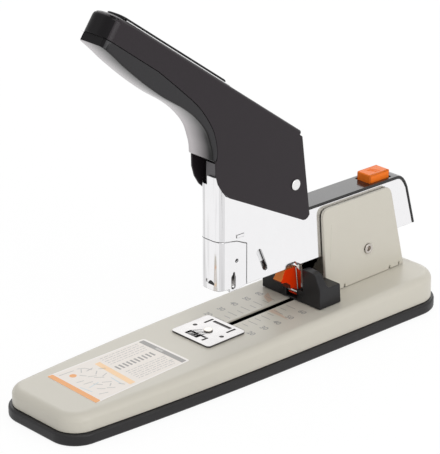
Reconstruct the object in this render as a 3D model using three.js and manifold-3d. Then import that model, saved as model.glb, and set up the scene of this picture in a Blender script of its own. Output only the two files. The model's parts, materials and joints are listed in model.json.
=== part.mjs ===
// Heavy duty stapler with a long chrome head, built as separate working pieces.
// Millimetres, +Z up. +X runs from the nose to the hinged rear, +Y to the far side.
// The origin lies under the middle of the base, on the table.
import * as THREE from "three";
import { mergeVertices } from "three/addons/utils/BufferGeometryUtils.js";
import Module from "manifold-3d";

const wasm = await Module();
wasm.setup();

// Fits shared by every piece
const clearance = 0.3;
const overrun = 4;
const shortOverrun = 1;
const weldDistance = 0.0001;
const arcSteps = 4;
const roundSides = 24;
const smallSides = 16;

// Base tray and feet
const baseLength = 285;
const machineRun = 142.5;
const baseRearWidth = 74;
const baseNoseWidth = 64;
const noseCornerRadius = 16;
const rearCornerRadius = 21;
const taperEndShare = 0.07;
const taperPullShare = -0.21;
const trayGap = 0.6;
const trayFloor = 2.4;
const rimTop = 7.2;
const lipRise = 1.8;
const lipWall = 1.6;
const footRadius = 8;
const footRecess = 1.2;
const footInset = 29.5;
const footY = 17.5;

// Pressed cover: its flat top is the deck, which rises towards the rear
const coverInset = 2.1;
const coverWall = 1.2;
const deckHeight = 20.3;
const deckRise = 0.02;
const shoulderRadius = 5.5;
const shoulderDrop = 4.5;
const coverDepth = 26;
const postRadius = 3.6;
const coverScrewRadius = 1.5;
const coverScrewHeadRadius = 2.8;
const coverScrewHeadHeight = 1.8;
const coverScrewLength = 14;
const bossRadius = 5;
const bossHeight = 4.2;
const coverScrewSpacing = 16;
const coverScrewY = 18.5;
const postSink = 0.6;

// Anvil
const anvilX = -17;
const slotGap = 1.5;
const anvilLength = 28.6;
const anvilWidth = 31.4;
const anvilThickness = 0.8;
const anvilCorner = 2.2;
const rivetRadius = 1.7;
const rivetHeadRadius = 2.6;
const rivetHeadHeight = 0.5;
const washerRadius = 5;
const washerThickness = 1;
const grooveDepth = 0.4;
const grooveLegWidth = 1.4;
const clinchGrooveX = 10.6;
const clinchGrooveHalf = 7;
const clinchGrooveWidth = 2.1;
const clinchLegFront = 5.5;
const clinchLegRear = 12.1;
const clinchLegY = 9.2;
const pinningGrooveX = -7.2;
const pinningGrooveWidth = 1.5;
const pinningGrooveStart = 2.6;
const pinningGrooveEnd = 5.7;
const pinningLegFront = -11;
const pinningLegRear = -6.6;
const pinningLegYs = [1.5, 6.8];
const dimpleRadius = 1.3;
const dimpleDepth = 0.3;
const dimpleOffset = 11;

// Head: side plates and front tower bent from one sheet
const headHalfWidth = 8.3;
const headWall = 1.2;
const headBend = 2.7;
const headFrontReturn = 5.4;
const capFrontReturn = 8.1;
const headFront = -16.6;
const headBottom = 45.7;
const headTop = 77.2;
const tongueTop = 113.5;
const tongueCutStart = 1.4;
const tongueCutDrop = 5.2;
const towerTop = 106;
const towerBack = 16;
const headRearTop = 126;
const headRearBottom = 139.8;
const headRearRound = 7;
const shoulderStart = 50.5;
const notchStart = 35;
const notchLength = 9;
const notchDepth = 2.8;
const linkSlotLow = [19.4, 50.9];
const linkSlotHigh = [13.3, 62.5];
const linkSlotRadius = 1.1;
const nibFront = -3.4;
const nibLength = 5.6;
const nibGap = 2;
const nibHeight = 1.8;
const nibReach = 0.5;

// Head pivot in the rear bracket
const headPivotX = 99.1;
const headPivotZ = 41.6;
const headPinRadius = 2.4;
const headPinFlange = 3.1;
const headPinFlangeHeight = 0.7;
const headPinBore = 1.5;
const headPinBoreDepth = 2;
const headEarRadius = 8;
const headEarReach = 16;
const spacerWall = 1.2;

// Rear bracket
const cheekOuter = 11.2;
const cheekWall = 1.3;
const cheekRim = 2.3;
const cheekFrontBottom = 65.6;
const cheekFrontTop = 61.6;
const cheekTop = 75.4;
const cheekRearTop = 118.6;
const cheekRearBottom = 131;
const cheekCorner = 5;
const cheekCornerPull = 1.2;
const bracketWeb = 1.6;
const bracketWebStart = 70;
const bracketWebEnd = 128;
const cheekNotchWidth = 1.2;
const cheekNotchHeight = 2.4;
const cheekNotchShares = [0.22, 0.8, 0.92];
const boltRadius = 2;
const boltHeadRadius = 3.8;
const boltHeadHeight = 2.2;
const boltReach = 11;
const boltXs = [75.2, 119];
const boltHeadSides = 6;
const boltBossRadius = 5.5;

// Head lifting spring
const liftSpringX = 85.5;
const liftSpringRadius = 4.6;
const liftSpringWire = 1.3;
const liftSpringCurls = 5;
const liftSeatLength = 12;
const liftSeatThickness = 1.4;

// Handle, in its own frame: u along the top edge, v square to it, from the handle pin
const handlePinX = 39.8;
const handlePinZ = 96.7;
const handlePinRadius = 1.9;
const handlePinHead = 3.2;
const handlePinHeadHeight = 0.6;
const handleOpenAngle = 35.5;
const handleHalfWidth = 10.3;
const handleWall = 1.2;
const handleWebDrop = 2.4;
const handleBend = 1.8;
const handleReach = 178;
const handleTop = 27.8;
const handleTipCorner = 4.5;
const handleTipRun = 18;
const handleThroat = 65.5;
const seamHeight = 14.6;
const gripTipHeight = 9.8;
const gripLowHeight = 4;
const gripThroatDrop = 12;
const gripRound = 2.4;
const gripEdge = 1.2;
const plateFrontDrop = 25.1;
const plateRearDrop = 15.4;
const plateRearReach = 22;
const webRearReach = 14;
const plateFrontRun = 22;
const plateRearCorner = 5;
const padTipGap = 2;
const padLength = 94;
const padHalfWidth = 7;
const padThickness = 2.4;
const padEdge = 0.5;
const padLipHeight = 1.2;

// Handle arm, driver and return spring
const armHalfThickness = 1.5;
const armWidth = 7;
const armHubRadius = 5;
const driverPinReach = 47;
const driverPinRadius = 1.6;
const driverPinDip = 12.75;
const armRiserFront = 26;
const armRiserRear = 15;
const blockHalfWidth = 4.1;
const blockRear = 1.5;
const blockFrontWall = 2.4;
const blockFloor = 1.2;
const blockBottom = 104.6;
const blockTop = 121;
const bladeThickness = 0.8;
const bladeHalfWidth = 6;
const bladeShoulder = 103;
const bladeNeckHalfWidth = 3.6;
const shelfFront = 4;
const shelfRear = 20;
const shelfBottom = 73.6;
const shelfThickness = 1.6;
const returnSpringRadius = 3.7;
const returnSpringWire = 1.1;
const returnSpringCurls = 6;

// Magazine that slides out at the front
const capRear = 4.4;
const capTopMiddle = 73.6;
const capFrontRise = 2.8;
const capRearDrop = 3.3;
const capBottom = 44.5;
const capFrontBottom = 46.3;
const capLipThickness = 1.1;
const capHoleRadius = 1.1;
const capHoleX = -3;
const capHoleDrop = 11.6;
const capSlotX = -5.1;
const capSlotHeight = 10.5;
const capSlotHalfWidth = 0.7;
const capMarkHalfWidth = 2.2;
const capMarkRise = 5.7;
const capMarkHeight = 1.8;
const coreHalfWidth = 5.6;
const coreWall = 0.8;
const coreTop = 69.6;
const coreRear = 113.4;
const coreSlotHalfWidth = 1.3;
const coreEndWall = 1.4;
const coreEndHeight = 12;
const coreSlotDepth = 1.6;
const tailThickness = 2;
const rodRadius = 1.1;
const rodDrop = 5.6;
const stapleWire = 0.7;
const stapleLeg = 15;
const staplePitch = 1.4;
const stapleGroove = 0.18;
const stapleCount = 38;
const pusherLength = 12;
const pusherDrop = 12;
const pusherWall = 1;
const pusherRing = 1.2;
const pusherCollarLength = 6;
const pusherSpringRadius = 2.2;
const pusherSpringWire = 0.6;
const pusherSpringCurls = 15;

// Top strip and release button
const stripThickness = 1.5;
const stripHalfWidth = 8.5;
const stripStart = 51.5;
const stripTailBottom = 45.8;
const buttonFront = 105.6;
const buttonLength = 16.4;
const buttonHalfWidth = 5.3;
const buttonRise = 4.5;
const buttonRound = 0.8;
const buttonEdge = 0.4;
const buttonPlay = 0.8;
const buttonFlange = 1.2;
const buttonFlangeThickness = 1.6;
const buttonSpringRadius = 2.2;
const buttonSpringWire = 0.5;
const buttonSpringCurls = 4;
const buttonSpringX = 109.3;
const buttonBoreDepth = 5.4;
const buttonShelfThickness = 1.2;
const buttonShelfLength = 6.4;
const buttonTravel = 2.5;
const buttonLegThickness = 2.4;
const buttonLegHalfWidth = 3;

// Depth guide, in the deck's frame
const guideFront = 47.5;
const guideLength = 17;
const guideHalfWidth = 23.8;
const guideInner = 9.6;
const guideHump = 21.6;
const guideHumpLength = 5.4;
const guideShoulder = 12.2;
const guideBridge = 4;
const guideBridgeLength = 12.5;
const guideFloor = 1.2;
const guideRearLean = 0.6;
const guideRearCorner = 1.2;
const guideHumpSweep = 2.7;
const guideHumpWidth = 5.4;
const guideShoulderInset = 2.44;
const guideCheekGap = 1.2;
const slotEnd = 66;
const slotHalfWidth = 2;
const clampThickness = 2;
const clampHalfWidth = 8;
const clampLength = 10;
const guideScrewX = 57;
const guideScrewRadius = 1.3;
const guideScrewHeadRadius = 2.6;
const guideScrewHeadHeight = 1.5;
const leverHalfWidth = 3.3;
const leverPivotX = 49.4;
const leverPivotZ = 5.2;
const leverPinRadius = 1;
const leverTop = 21.2;
const leverReach = 13;
const leverDepth = 4;
const leverLugWall = 1.8;
const leverLugRun = 2;
const leverLugTop = 7.4;
const wireRadius = 0.4;
const wireSides = 8;
const wireLean = 1.8;

// Derived levels and places. The working parts keep their distance from the base's rear end.
const machineX = baseLength / 2 - machineRun;
const footX = baseLength / 2 - footInset;
const padStart = handleReach - padTipGap;
const padEnd = padStart - padLength;
const slotStart = anvilX + anvilLength / 2 + slotGap;
const capTopFront = capTopMiddle + capFrontRise;
const capTopRear = capTopMiddle - capRearDrop;
const capHoleZ = capTopMiddle - capHoleDrop;
const nibBottom = capTopMiddle + nibGap;
const bladeBottom = capTopMiddle;
const capSlotTop = capBottom + capSlotHeight;
const capMarkBottom = capBottom + capMarkRise;
const deckAngle = -Math.atan(deckRise);
const handleTilt = THREE.MathUtils.degToRad(handleOpenAngle);
const coreBottom = capBottom + capLipThickness + clearance;
const bladeFront = headFront + headWall + clearance;
const stapleFront = bladeFront + bladeThickness + clearance;
const stapleRear = stapleFront + staplePitch * stapleCount;
const pusherFront = stapleRear + clearance;
const rodZ = coreTop - rodDrop;
const headInner = headHalfWidth - headWall;
const crossHalfWidth = headInner - clearance;
const stripBottom = headTop + clearance;
const stripTop = stripBottom + stripThickness;
const bracketFloor = clearance + bracketWeb;
const coverUnderside = coverWall + clearance;
const lugInner = leverHalfWidth + clearance + 2 * wireRadius + clearance;
const buttonBottom = stripBottom - clearance - buttonFlangeThickness;
const buttonShelfTop = coreTop + clearance + pusherWall + clearance + buttonShelfThickness;
const driverPinAngle = THREE.MathUtils.degToRad(driverPinDip);
const driverPinU = -driverPinReach * Math.cos(driverPinAngle);
const driverPinV = -driverPinReach * Math.sin(driverPinAngle);

// Pull point of the handle plate's front corner, as a share of its run
const plateFrontShare = 0.36;

// Seam between steel and grip: shares of the run from throat to tip, and of the seam's height
const seamBendShares = [
  [0.604, 0.97],
  [0.43, 0.82],
  [0.264, 0.63],
  [0.135, 0.27],
  [0.071, -0.06],
  [0.024, -0.42],
  [0, -0.71],
];

// Underside of the grip, tip to throat: shares of the run from heel to tip and of the seam's height
const bellyBendShares = [
  [0.887, 0.56],
  [0.803, 0.45],
  [0.641, 0.31],
  [0.483, 0.25],
  [0.332, 0.28],
  [0.224, 0.2],
  [0.127, -0.02],
  [0.062, -0.35],
  [0.03, -0.55],
];

// Side view of the lever: shares of its reach forward and of its top height
const leverSideShares = [
  [-0.24, 0.14],
  [0.38, 0.14],
  [0.42, 0.5],
  [0.68, 0.62],
  [0.92, 0.64],
  [1, 0.71],
  [0.88, 0.8],
  [0.73, 1],
  [0.07, 1],
  [-0.24, 0.8],
];

// Solid helpers
function toSolid(geometry) {
  const bare = geometry.clone();
  bare.deleteAttribute("normal");
  bare.deleteAttribute("uv");
  const merged = mergeVertices(bare, weldDistance);
  const mesh = new wasm.Mesh({
    numProp: 3,
    vertProperties: new Float32Array(merged.attributes.position.array),
    triVerts: new Uint32Array(merged.index.array),
  });
  return new wasm.Manifold(mesh);
}

function toGeometry(solid) {
  const mesh = solid.getMesh();
  const geometry = new THREE.BufferGeometry();
  geometry.setAttribute("position", new THREE.BufferAttribute(new Float32Array(mesh.vertProperties), 3));
  geometry.setIndex(new THREE.BufferAttribute(new Uint32Array(mesh.triVerts), 1));
  geometry.computeVertexNormals();
  return geometry;
}

function join(...geometries) {
  return toGeometry(geometries.map(toSolid).reduce((sum, next) => sum.add(next)));
}

function cut(stock, ...tools) {
  return toGeometry(tools.map(toSolid).reduce((rest, tool) => rest.subtract(tool), toSolid(stock)));
}

function common(first, second) {
  return toGeometry(toSolid(first).intersect(toSolid(second)));
}

// Box between two corners
function block(x0, x1, y0, y1, z0, z1) {
  const geometry = new THREE.BoxGeometry(x1 - x0, y1 - y0, z1 - z0);
  return geometry.translate((x0 + x1) / 2, (y0 + y1) / 2, (z0 + z1) / 2);
}

// Upright extrusion of a plan shape
function slab(shape, z0, z1) {
  const options = { depth: z1 - z0, bevelEnabled: false, curveSegments: arcSteps };
  return new THREE.ExtrudeGeometry(shape, options).translate(0, 0, z0);
}

// Extrusion of a side outline (x, z) from y0 to y1
function plate(shape, y0, y1, round = 0) {
  const geometry = new THREE.ExtrudeGeometry(shape, {
    depth: y1 - y0 - 2 * round,
    bevelEnabled: round > 0,
    bevelThickness: round,
    bevelSize: round,
    bevelOffset: -round,
    bevelSegments: 2,
    curveSegments: arcSteps,
  });
  geometry.rotateX(Math.PI / 2);
  return geometry.translate(0, y1 - round, 0);
}

// Extrusion of a front outline (y, z) from x0 to x1
function profile(shape, x0, x1) {
  const options = { depth: x1 - x0, bevelEnabled: false, curveSegments: arcSteps };
  const geometry = new THREE.ExtrudeGeometry(shape, options);
  geometry.rotateX(Math.PI / 2);
  geometry.rotateZ(Math.PI / 2);
  return geometry.translate(x0, 0, 0);
}

// Round bar along Y
function crossRod(radius, x, z, y0, y1, sides = roundSides) {
  const geometry = new THREE.CylinderGeometry(radius, radius, y1 - y0, sides);
  return geometry.translate(x, (y0 + y1) / 2, z);
}

// Upright round bar
function post(radius, x, y, z0, z1, sides = roundSides) {
  const geometry = new THREE.CylinderGeometry(radius, radius, z1 - z0, sides);
  geometry.rotateX(Math.PI / 2);
  return geometry.translate(x, y, (z0 + z1) / 2);
}

// Round bar along X
function longRod(radius, y, z, x0, x1, sides = roundSides) {
  const geometry = new THREE.CylinderGeometry(radius, radius, x1 - x0, sides);
  geometry.rotateZ(Math.PI / 2);
  return geometry.translate((x0 + x1) / 2, y, z);
}

function polygon(points) {
  return new THREE.Shape(points.map(([a, b]) => new THREE.Vector2(a, b)));
}

// Stadium outline around two centres
function stadium(x0, z0, x1, z1, radius) {
  const along = Math.atan2(z1 - z0, x1 - x0);
  const shape = new THREE.Shape();
  shape.absarc(x1, z1, radius, along - Math.PI / 2, along + Math.PI / 2);
  shape.absarc(x0, z0, radius, along + Math.PI / 2, along + (3 * Math.PI) / 2);
  return shape;
}

// Rectangle with rounded corners
function roundedRectangle(x0, x1, y0, y1, radius) {
  const shape = new THREE.Shape();
  shape.absarc(x1 - radius, y0 + radius, radius, -Math.PI / 2, 0);
  shape.absarc(x1 - radius, y1 - radius, radius, 0, Math.PI / 2);
  shape.absarc(x0 + radius, y1 - radius, radius, Math.PI / 2, Math.PI);
  shape.absarc(x0 + radius, y0 + radius, radius, Math.PI, (3 * Math.PI) / 2);
  return shape;
}

// Box on one side of the middle, between two distances from it
function sideBlock(x0, x1, hand, near, far, z0, z1) {
  const low = Math.min(hand * near, hand * far);
  const high = Math.max(hand * near, hand * far);
  return block(x0, x1, low, high, z0, z1);
}

// Plate on one side of the middle, between two distances from it
function sidePlate(shape, hand, near, far) {
  return plate(shape, Math.min(hand * near, hand * far), Math.max(hand * near, hand * far));
}

// The four signed corners of a rectangle pattern
function corners(halfX, halfY) {
  return [-1, 1].flatMap((sx) => [-1, 1].map((sy) => [sx * halfX, sy * halfY]));
}

// From the deck's frame to the frame of the whole part
function fromDeck(geometry) {
  return geometry.rotateY(deckAngle).translate(0, 0, deckHeight);
}

// Coil springs: a tube through every point, with straight ends one wire long
class CoilPath extends THREE.Curve {
  constructor(radius, wire, curls, length) {
    super();
    const steps = 8 * curls;
    const rise = length - 4 * wire;
    this.points = [new THREE.Vector3(radius, 0, 0), new THREE.Vector3(radius, 0, wire)];
    for (let step = 1; step < steps; step += 1) {
      const angle = (step / steps) * curls * 2 * Math.PI;
      const z = 2 * wire + (rise * (step - 1)) / (steps - 2);
      this.points.push(new THREE.Vector3(radius * Math.cos(angle), radius * Math.sin(angle), z));
    }
    this.points.push(new THREE.Vector3(radius, 0, length - wire), new THREE.Vector3(radius, 0, length));
  }

  getPoint(t, target = new THREE.Vector3()) {
    const place = t * (this.points.length - 1);
    const index = Math.min(Math.floor(place), this.points.length - 2);
    return target.lerpVectors(this.points[index], this.points[index + 1], place - index);
  }

  getPointAt(u, target) {
    return this.getPoint(u, target);
  }

  getTangentAt(u, target = new THREE.Vector3()) {
    const step = 1 / (this.points.length - 1);
    const before = this.getPoint(Math.max(0, u - step / 2));
    const after = this.getPoint(Math.min(1, u + step / 2));
    return target.subVectors(after, before).normalize();
  }
}

function coil(name, radius, wire, curls, length) {
  const path = new CoilPath(radius, wire, curls, length);
  const tube = wire / 2;
  const section = new THREE.Shape(
    Array.from({ length: 5 }, (_, side) => {
      const angle = (side / 5) * 2 * Math.PI;
      return new THREE.Vector2(tube * Math.cos(angle), tube * Math.sin(angle));
    }),
  );
  let least = Infinity;
  path.points.forEach((point, index) => {
    path.points.slice(index + 5).forEach((other) => {
      least = Math.min(least, point.distanceTo(other) - wire);
    });
  });
  console.log(`${name}: least gap to itself ${least.toFixed(2)} mm`);
  return new THREE.ExtrudeGeometry(section, {
    steps: path.points.length - 1,
    bevelEnabled: false,
    extrudePath: path,
  });
}

// Materials by slot
const finishes = {
  blackPlastic: [0x1d1d1f, 0.55, 0],
  greyPaint: [0xbdbcaf, 0.5, 0.1],
  rubber: [0x161616, 0.9, 0],
  steel: [0x8d8f92, 0.4, 0.9],
  chrome: [0xd8dade, 0.12, 1],
  blackSteel: [0x2b2a2c, 0.4, 0.3],
  gloss: [0x141416, 0.1, 0.1],
  orange: [0xf07a1c, 0.4, 0],
  wire: [0xa8abae, 0.3, 0.9],
};

function piece(name, geometry, finish) {
  const [color, roughness, metalness] = finishes[finish];
  const mesh = new THREE.Mesh(geometry, new THREE.MeshStandardMaterial({ color, roughness, metalness }));
  mesh.name = name;
  return mesh;
}

// Plan of the base, drawn in towards the nose
function planShape(inset) {
  const end = baseLength / 2 - inset;
  const rear = baseRearWidth / 2 - inset;
  const nose = baseNoseWidth / 2 - inset;
  const noseRadius = noseCornerRadius - inset;
  const rearRadius = rearCornerRadius - inset;
  const taperEnd = taperEndShare * baseLength;
  const taperPull = taperPullShare * baseLength;
  const shape = new THREE.Shape();
  shape.moveTo(taperEnd, -rear);
  shape.absarc(end - rearRadius, rearRadius - rear, rearRadius, -Math.PI / 2, 0);
  shape.absarc(end - rearRadius, rear - rearRadius, rearRadius, 0, Math.PI / 2);
  shape.lineTo(taperEnd, rear);
  shape.quadraticCurveTo(taperPull, rear, noseRadius - end, nose);
  shape.absarc(noseRadius - end, nose - noseRadius, noseRadius, Math.PI / 2, Math.PI);
  shape.absarc(noseRadius - end, noseRadius - nose, noseRadius, Math.PI, (3 * Math.PI) / 2);
  shape.quadraticCurveTo(taperPull, -rear, taperEnd, -rear);
  return shape;
}

const footPlaces = corners(footX, footY);
const coverScrewPlaces = corners(footX - coverScrewSpacing, coverScrewY);
const trayFloorTop = trayGap + trayFloor;
const bossTop = trayFloorTop + bossHeight;
const boltBossTop = deckHeight + deckRise * boltXs[0] - coverUnderside - clearance;

function baseTray() {
  const lipInset = coverInset + coverWall + clearance;
  const outer = join(
    slab(planShape(0), trayGap, rimTop),
    slab(planShape(lipInset), rimTop - lipRise, rimTop + lipRise),
  );
  const shell = cut(outer, slab(planShape(lipInset + lipWall), trayFloorTop, rimTop + lipRise + overrun));
  const bosses = coverScrewPlaces.map(([x, y]) => post(bossRadius, x, y, trayGap, bossTop));
  const boltBosses = boltXs.map((x) => post(boltBossRadius, machineX + x, 0, trayGap, boltBossTop));
  const body = join(shell, ...bosses, ...boltBosses);
  const headRecess = coverScrewHeadHeight + clearance;
  const screwHoles = coverScrewPlaces.flatMap(([x, y]) => [
    post(coverScrewHeadRadius + clearance, x, y, trayGap - overrun, trayGap + headRecess),
    post(coverScrewRadius + clearance, x, y, trayGap - overrun, bossTop + overrun, smallSides),
  ]);
  const boltHoles = boltXs.map((x) =>
    post(boltRadius + clearance, machineX + x, 0, trayFloorTop, boltBossTop + overrun, smallSides),
  );
  const footHoles = footPlaces.map(([x, y]) =>
    post(footRadius + clearance, x, y, trayGap - overrun, trayGap + footRecess),
  );
  return cut(body, ...screwHoles, ...boltHoles, ...footHoles);
}

// One bevelled block under the deck's plane, its top shoulders rounded, in the machine's frame
function deckBlock(inset, drop) {
  const across = shoulderRadius - drop;
  const down = shoulderDrop - drop;
  const geometry = new THREE.ExtrudeGeometry(planShape(inset + across), {
    depth: coverDepth,
    bevelEnabled: true,
    bevelThickness: down,
    bevelSize: across,
    bevelSegments: 4,
    curveSegments: arcSteps,
  });
  return fromDeck(geometry.translate(-machineX, 0, -drop - down - coverDepth));
}

function baseCover() {
  const trim = block(
    -baseLength - machineX,
    baseLength - machineX,
    -baseRearWidth,
    baseRearWidth,
    -coverDepth - deckHeight,
    rimTop + clearance,
  );
  const shell = cut(deckBlock(coverInset, 0), deckBlock(coverInset + coverWall, coverWall), trim);
  const screwPlaces = coverScrewPlaces.map(([x, y]) => [x - machineX, y]);
  const posts = screwPlaces.map(([x, y]) => {
    const top = deckHeight + deckRise * x - postSink;
    return post(postRadius, x, y, bossTop + clearance, top);
  });
  const slot = fromDeck(block(slotStart, slotEnd, -slotHalfWidth, slotHalfWidth, -overrun, overrun));
  const rivetHole = fromDeck(post(rivetRadius + clearance, anvilX, 0, -overrun, overrun, smallSides));
  const boltHoles = boltXs.map((x) =>
    post(boltRadius + clearance, x, 0, boltBossTop, deckHeight + overrun, smallSides),
  );
  const screwHoles = screwPlaces.map(([x, y]) => {
    const top = trayGap + clearance + coverScrewLength + clearance;
    return post(coverScrewRadius + clearance, x, y, bossTop, top, smallSides);
  });
  return cut(join(shell, ...posts), slot, rivetHole, ...boltHoles, ...screwHoles);
}

function foot() {
  return post(footRadius, 0, 0, 0, trayGap + footRecess - clearance);
}

function coverScrew() {
  return join(
    post(coverScrewHeadRadius, 0, 0, 0, coverScrewHeadHeight, smallSides),
    post(coverScrewRadius, 0, 0, 0, coverScrewLength, smallSides),
  );
}

// Rear bracket
function cheekOutline() {
  const shape = new THREE.Shape();
  const foot = deckHeight;
  shape.moveTo(cheekFrontBottom, foot);
  shape.lineTo(cheekRearBottom, foot);
  shape.lineTo(cheekRearTop, cheekTop - cheekCorner);
  shape.quadraticCurveTo(cheekRearTop - cheekCornerPull, cheekTop, cheekRearTop - cheekCorner, cheekTop);
  shape.lineTo(cheekFrontTop + cheekCorner, cheekTop);
  shape.quadraticCurveTo(cheekFrontTop, cheekTop, cheekFrontTop, cheekTop - cheekCorner);
  return shape;
}

function rearBracket() {
  const outline = cheekOutline();
  const rimInner = cheekOuter - cheekRim;
  const wallInner = cheekOuter - cheekWall;
  const sides = [-1, 1].map((hand) => {
    const stock = sidePlate(outline, hand, rimInner, cheekOuter);
    const pocket = sidePlate(outline, hand, rimInner - clearance, wallInner);
    const lower = pocket.clone().translate(cheekWall, 0, -cheekWall);
    const rearward = pocket.clone().translate(cheekRearBottom - cheekRearTop, 0, -cheekWall);
    return cut(stock, lower, rearward);
  });
  const webHalf = cheekOuter - cheekWall / 2;
  const web = fromDeck(block(bracketWebStart, bracketWebEnd, -webHalf, webHalf, 0, bracketFloor));
  const body = join(...sides, web);
  const underDeck = fromDeck(block(0, baseLength, -baseRearWidth, baseRearWidth, -coverDepth, clearance));
  const pinHole = crossRod(headPinRadius + clearance, headPivotX, headPivotZ, -baseRearWidth, baseRearWidth);
  const boltHoleTop = deckHeight + bracketFloor + overrun;
  const boltHoles = boltXs.map((x) => post(boltRadius + clearance, x, 0, 0, boltHoleTop, smallSides));
  const span = cheekRearBottom - cheekFrontBottom;
  const notches = cheekNotchShares.map((share) => {
    const x = cheekFrontBottom + share * span;
    const inner = cheekWall + clearance - cheekOuter;
    return fromDeck(block(x, x + cheekNotchWidth, -baseRearWidth, inner, 0, cheekNotchHeight));
  });
  return cut(body, underDeck, pinHole, ...boltHoles, ...notches);
}

function bracketBolt() {
  return join(
    post(boltHeadRadius, 0, 0, 0, boltHeadHeight, boltHeadSides),
    post(boltRadius, 0, 0, -boltReach, boltHeadHeight, smallSides),
  );
}

function headPivotPin() {
  const half = cheekOuter + clearance;
  const end = half + headPinFlangeHeight;
  const body = join(
    crossRod(headPinRadius, 0, 0, -end, end),
    crossRod(headPinFlange, 0, 0, -end, -half),
    crossRod(headPinFlange, 0, 0, half, end),
  );
  return cut(
    body,
    crossRod(headPinBore, 0, 0, -end - overrun, headPinBoreDepth - end),
    crossRod(headPinBore, 0, 0, end - headPinBoreDepth, end + overrun),
  );
}

// Head
function headSideOutline() {
  const shape = new THREE.Shape();
  shape.moveTo(headFront - overrun, capTopFront + clearance);
  shape.lineTo(headFront + headFrontReturn, (capTopFront + capTopMiddle) / 2 + clearance);
  shape.lineTo(capHoleX, capTopMiddle + clearance);
  shape.lineTo(capRear + clearance, capTopRear + clearance);
  shape.lineTo(capRear + clearance, headBottom);
  shape.lineTo(notchStart, headBottom);
  shape.lineTo(notchStart + notchDepth / 2, headBottom + notchDepth);
  shape.lineTo(notchStart + notchLength - notchDepth / 2, headBottom + notchDepth);
  shape.lineTo(notchStart + notchLength, headBottom);
  shape.lineTo(liftSpringX - liftSeatLength / 2 - clearance, headBottom);
  shape.lineTo(liftSpringX - liftSeatLength / 2 - clearance, headBottom - liftSeatThickness);
  shape.absarc(headPivotX, headPivotZ, headEarRadius, (-5 * Math.PI) / 6, -Math.PI / 6);
  shape.lineTo(headPivotX + headEarReach, headBottom);
  shape.lineTo(headRearBottom, headBottom);
  shape.lineTo(headRearTop + headRearRound, headTop - headRearRound);
  shape.quadraticCurveTo(headRearTop + headRearRound / 2, headTop, headRearTop, headTop);
  shape.lineTo(shoulderStart, headTop);
  shape.lineTo(handlePinX + headEarRadius, handlePinZ);
  shape.absarc(handlePinX, handlePinZ, headEarRadius, 0, Math.PI / 2);
  shape.lineTo(towerBack, towerTop);
  shape.lineTo(headFront + headBend, towerTop);
  shape.lineTo(headFront + headBend, tongueTop);
  shape.lineTo(headFront - overrun, tongueTop);
  return shape;
}

// Sheet bent round the front, open at the rear
function bentSheet(front, rear, z0, z1) {
  const outer = roundedRectangle(front, rear + headFrontReturn, -headHalfWidth, headHalfWidth, headBend);
  const innerRadius = headBend - headWall;
  const inner = roundedRectangle(front + headWall, rear + capFrontReturn, -headInner, headInner, innerRadius);
  const stock = cut(slab(outer, z0, z1), slab(inner, z0 - overrun, z1 + overrun));
  const opening = block(rear, rear + baseLength, -baseRearWidth, baseRearWidth, z0 - overrun, z1 + overrun);
  return cut(stock, opening);
}

function headFrame() {
  const lowest = headPivotZ - headEarRadius - overrun;
  const sheet = bentSheet(headFront, headRearBottom + clearance, lowest, tongueTop);
  const body = common(sheet, plate(headSideOutline(), -headHalfWidth - overrun, headHalfWidth + overrun));
  const slot = stadium(...linkSlotLow, ...linkSlotHigh, linkSlotRadius);
  const nibOuter = headHalfWidth + nibReach;
  const nibInner = headInner + clearance;
  const nibTop = nibBottom + nibHeight;
  const nib = sideBlock(nibFront, nibFront + nibLength, -1, nibInner, nibOuter, nibBottom, nibTop);
  const tongueCut = block(
    headFront - overrun,
    headFront + headBend + shortOverrun,
    tongueCutStart,
    headHalfWidth + overrun,
    tongueTop - tongueCutDrop,
    tongueTop + overrun,
  );
  return cut(
    join(body, nib),
    tongueCut,
    plate(slot, -headHalfWidth - overrun, headHalfWidth + overrun),
    crossRod(handlePinRadius + clearance, handlePinX, handlePinZ, -baseRearWidth, baseRearWidth),
    crossRod(headPinRadius + clearance, headPivotX, headPivotZ, -baseRearWidth, baseRearWidth),
  );
}

function stripOutline(offset) {
  const shape = new THREE.Shape();
  const inner = (gap) => [
    [headRearTop, headTop + gap],
    [headRearTop + headRearRound + gap, headTop - headRearRound],
    [headRearBottom + gap, headBottom],
  ];
  const near = inner(clearance);
  const far = inner(offset);
  shape.moveTo(stripStart, near[0][1]);
  shape.lineTo(near[0][0], near[0][1]);
  shape.quadraticCurveTo(headRearTop + headRearRound / 2 + clearance, near[0][1], near[1][0], near[1][1]);
  shape.lineTo(near[2][0], near[2][1]);
  shape.lineTo(far[2][0], far[2][1]);
  shape.lineTo(far[1][0], far[1][1]);
  shape.quadraticCurveTo(headRearTop + headRearRound / 2 + offset, far[0][1], far[0][0], far[0][1]);
  shape.lineTo(stripStart, far[0][1]);
  return shape;
}

function topStrip() {
  const body = plate(stripOutline(clearance + stripThickness), -stripHalfWidth, stripHalfWidth);
  const hole = block(
    buttonFront - buttonPlay,
    buttonFront + buttonLength + buttonPlay,
    -buttonHalfWidth - buttonPlay,
    buttonHalfWidth + buttonPlay,
    stripBottom - overrun,
    stripTop + overrun,
  );
  return cut(body, hole);
}

function crossShelf(x0, x1, z0, thickness) {
  return block(x0, x1, -crossHalfWidth, crossHalfWidth, z0, z0 + thickness);
}

function headSpacer() {
  const outer = crossRod(headPinRadius + clearance + spacerWall, 0, 0, -crossHalfWidth, crossHalfWidth);
  return cut(outer, crossRod(headPinRadius + clearance, 0, 0, -headHalfWidth, headHalfWidth));
}

function handlePin() {
  const half = handleHalfWidth + clearance;
  const end = half + handlePinHeadHeight;
  return join(
    crossRod(handlePinRadius, 0, 0, -end, end),
    crossRod(handlePinHead, 0, 0, -end, -half),
    crossRod(handlePinHead, 0, 0, half, end),
  );
}

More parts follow.
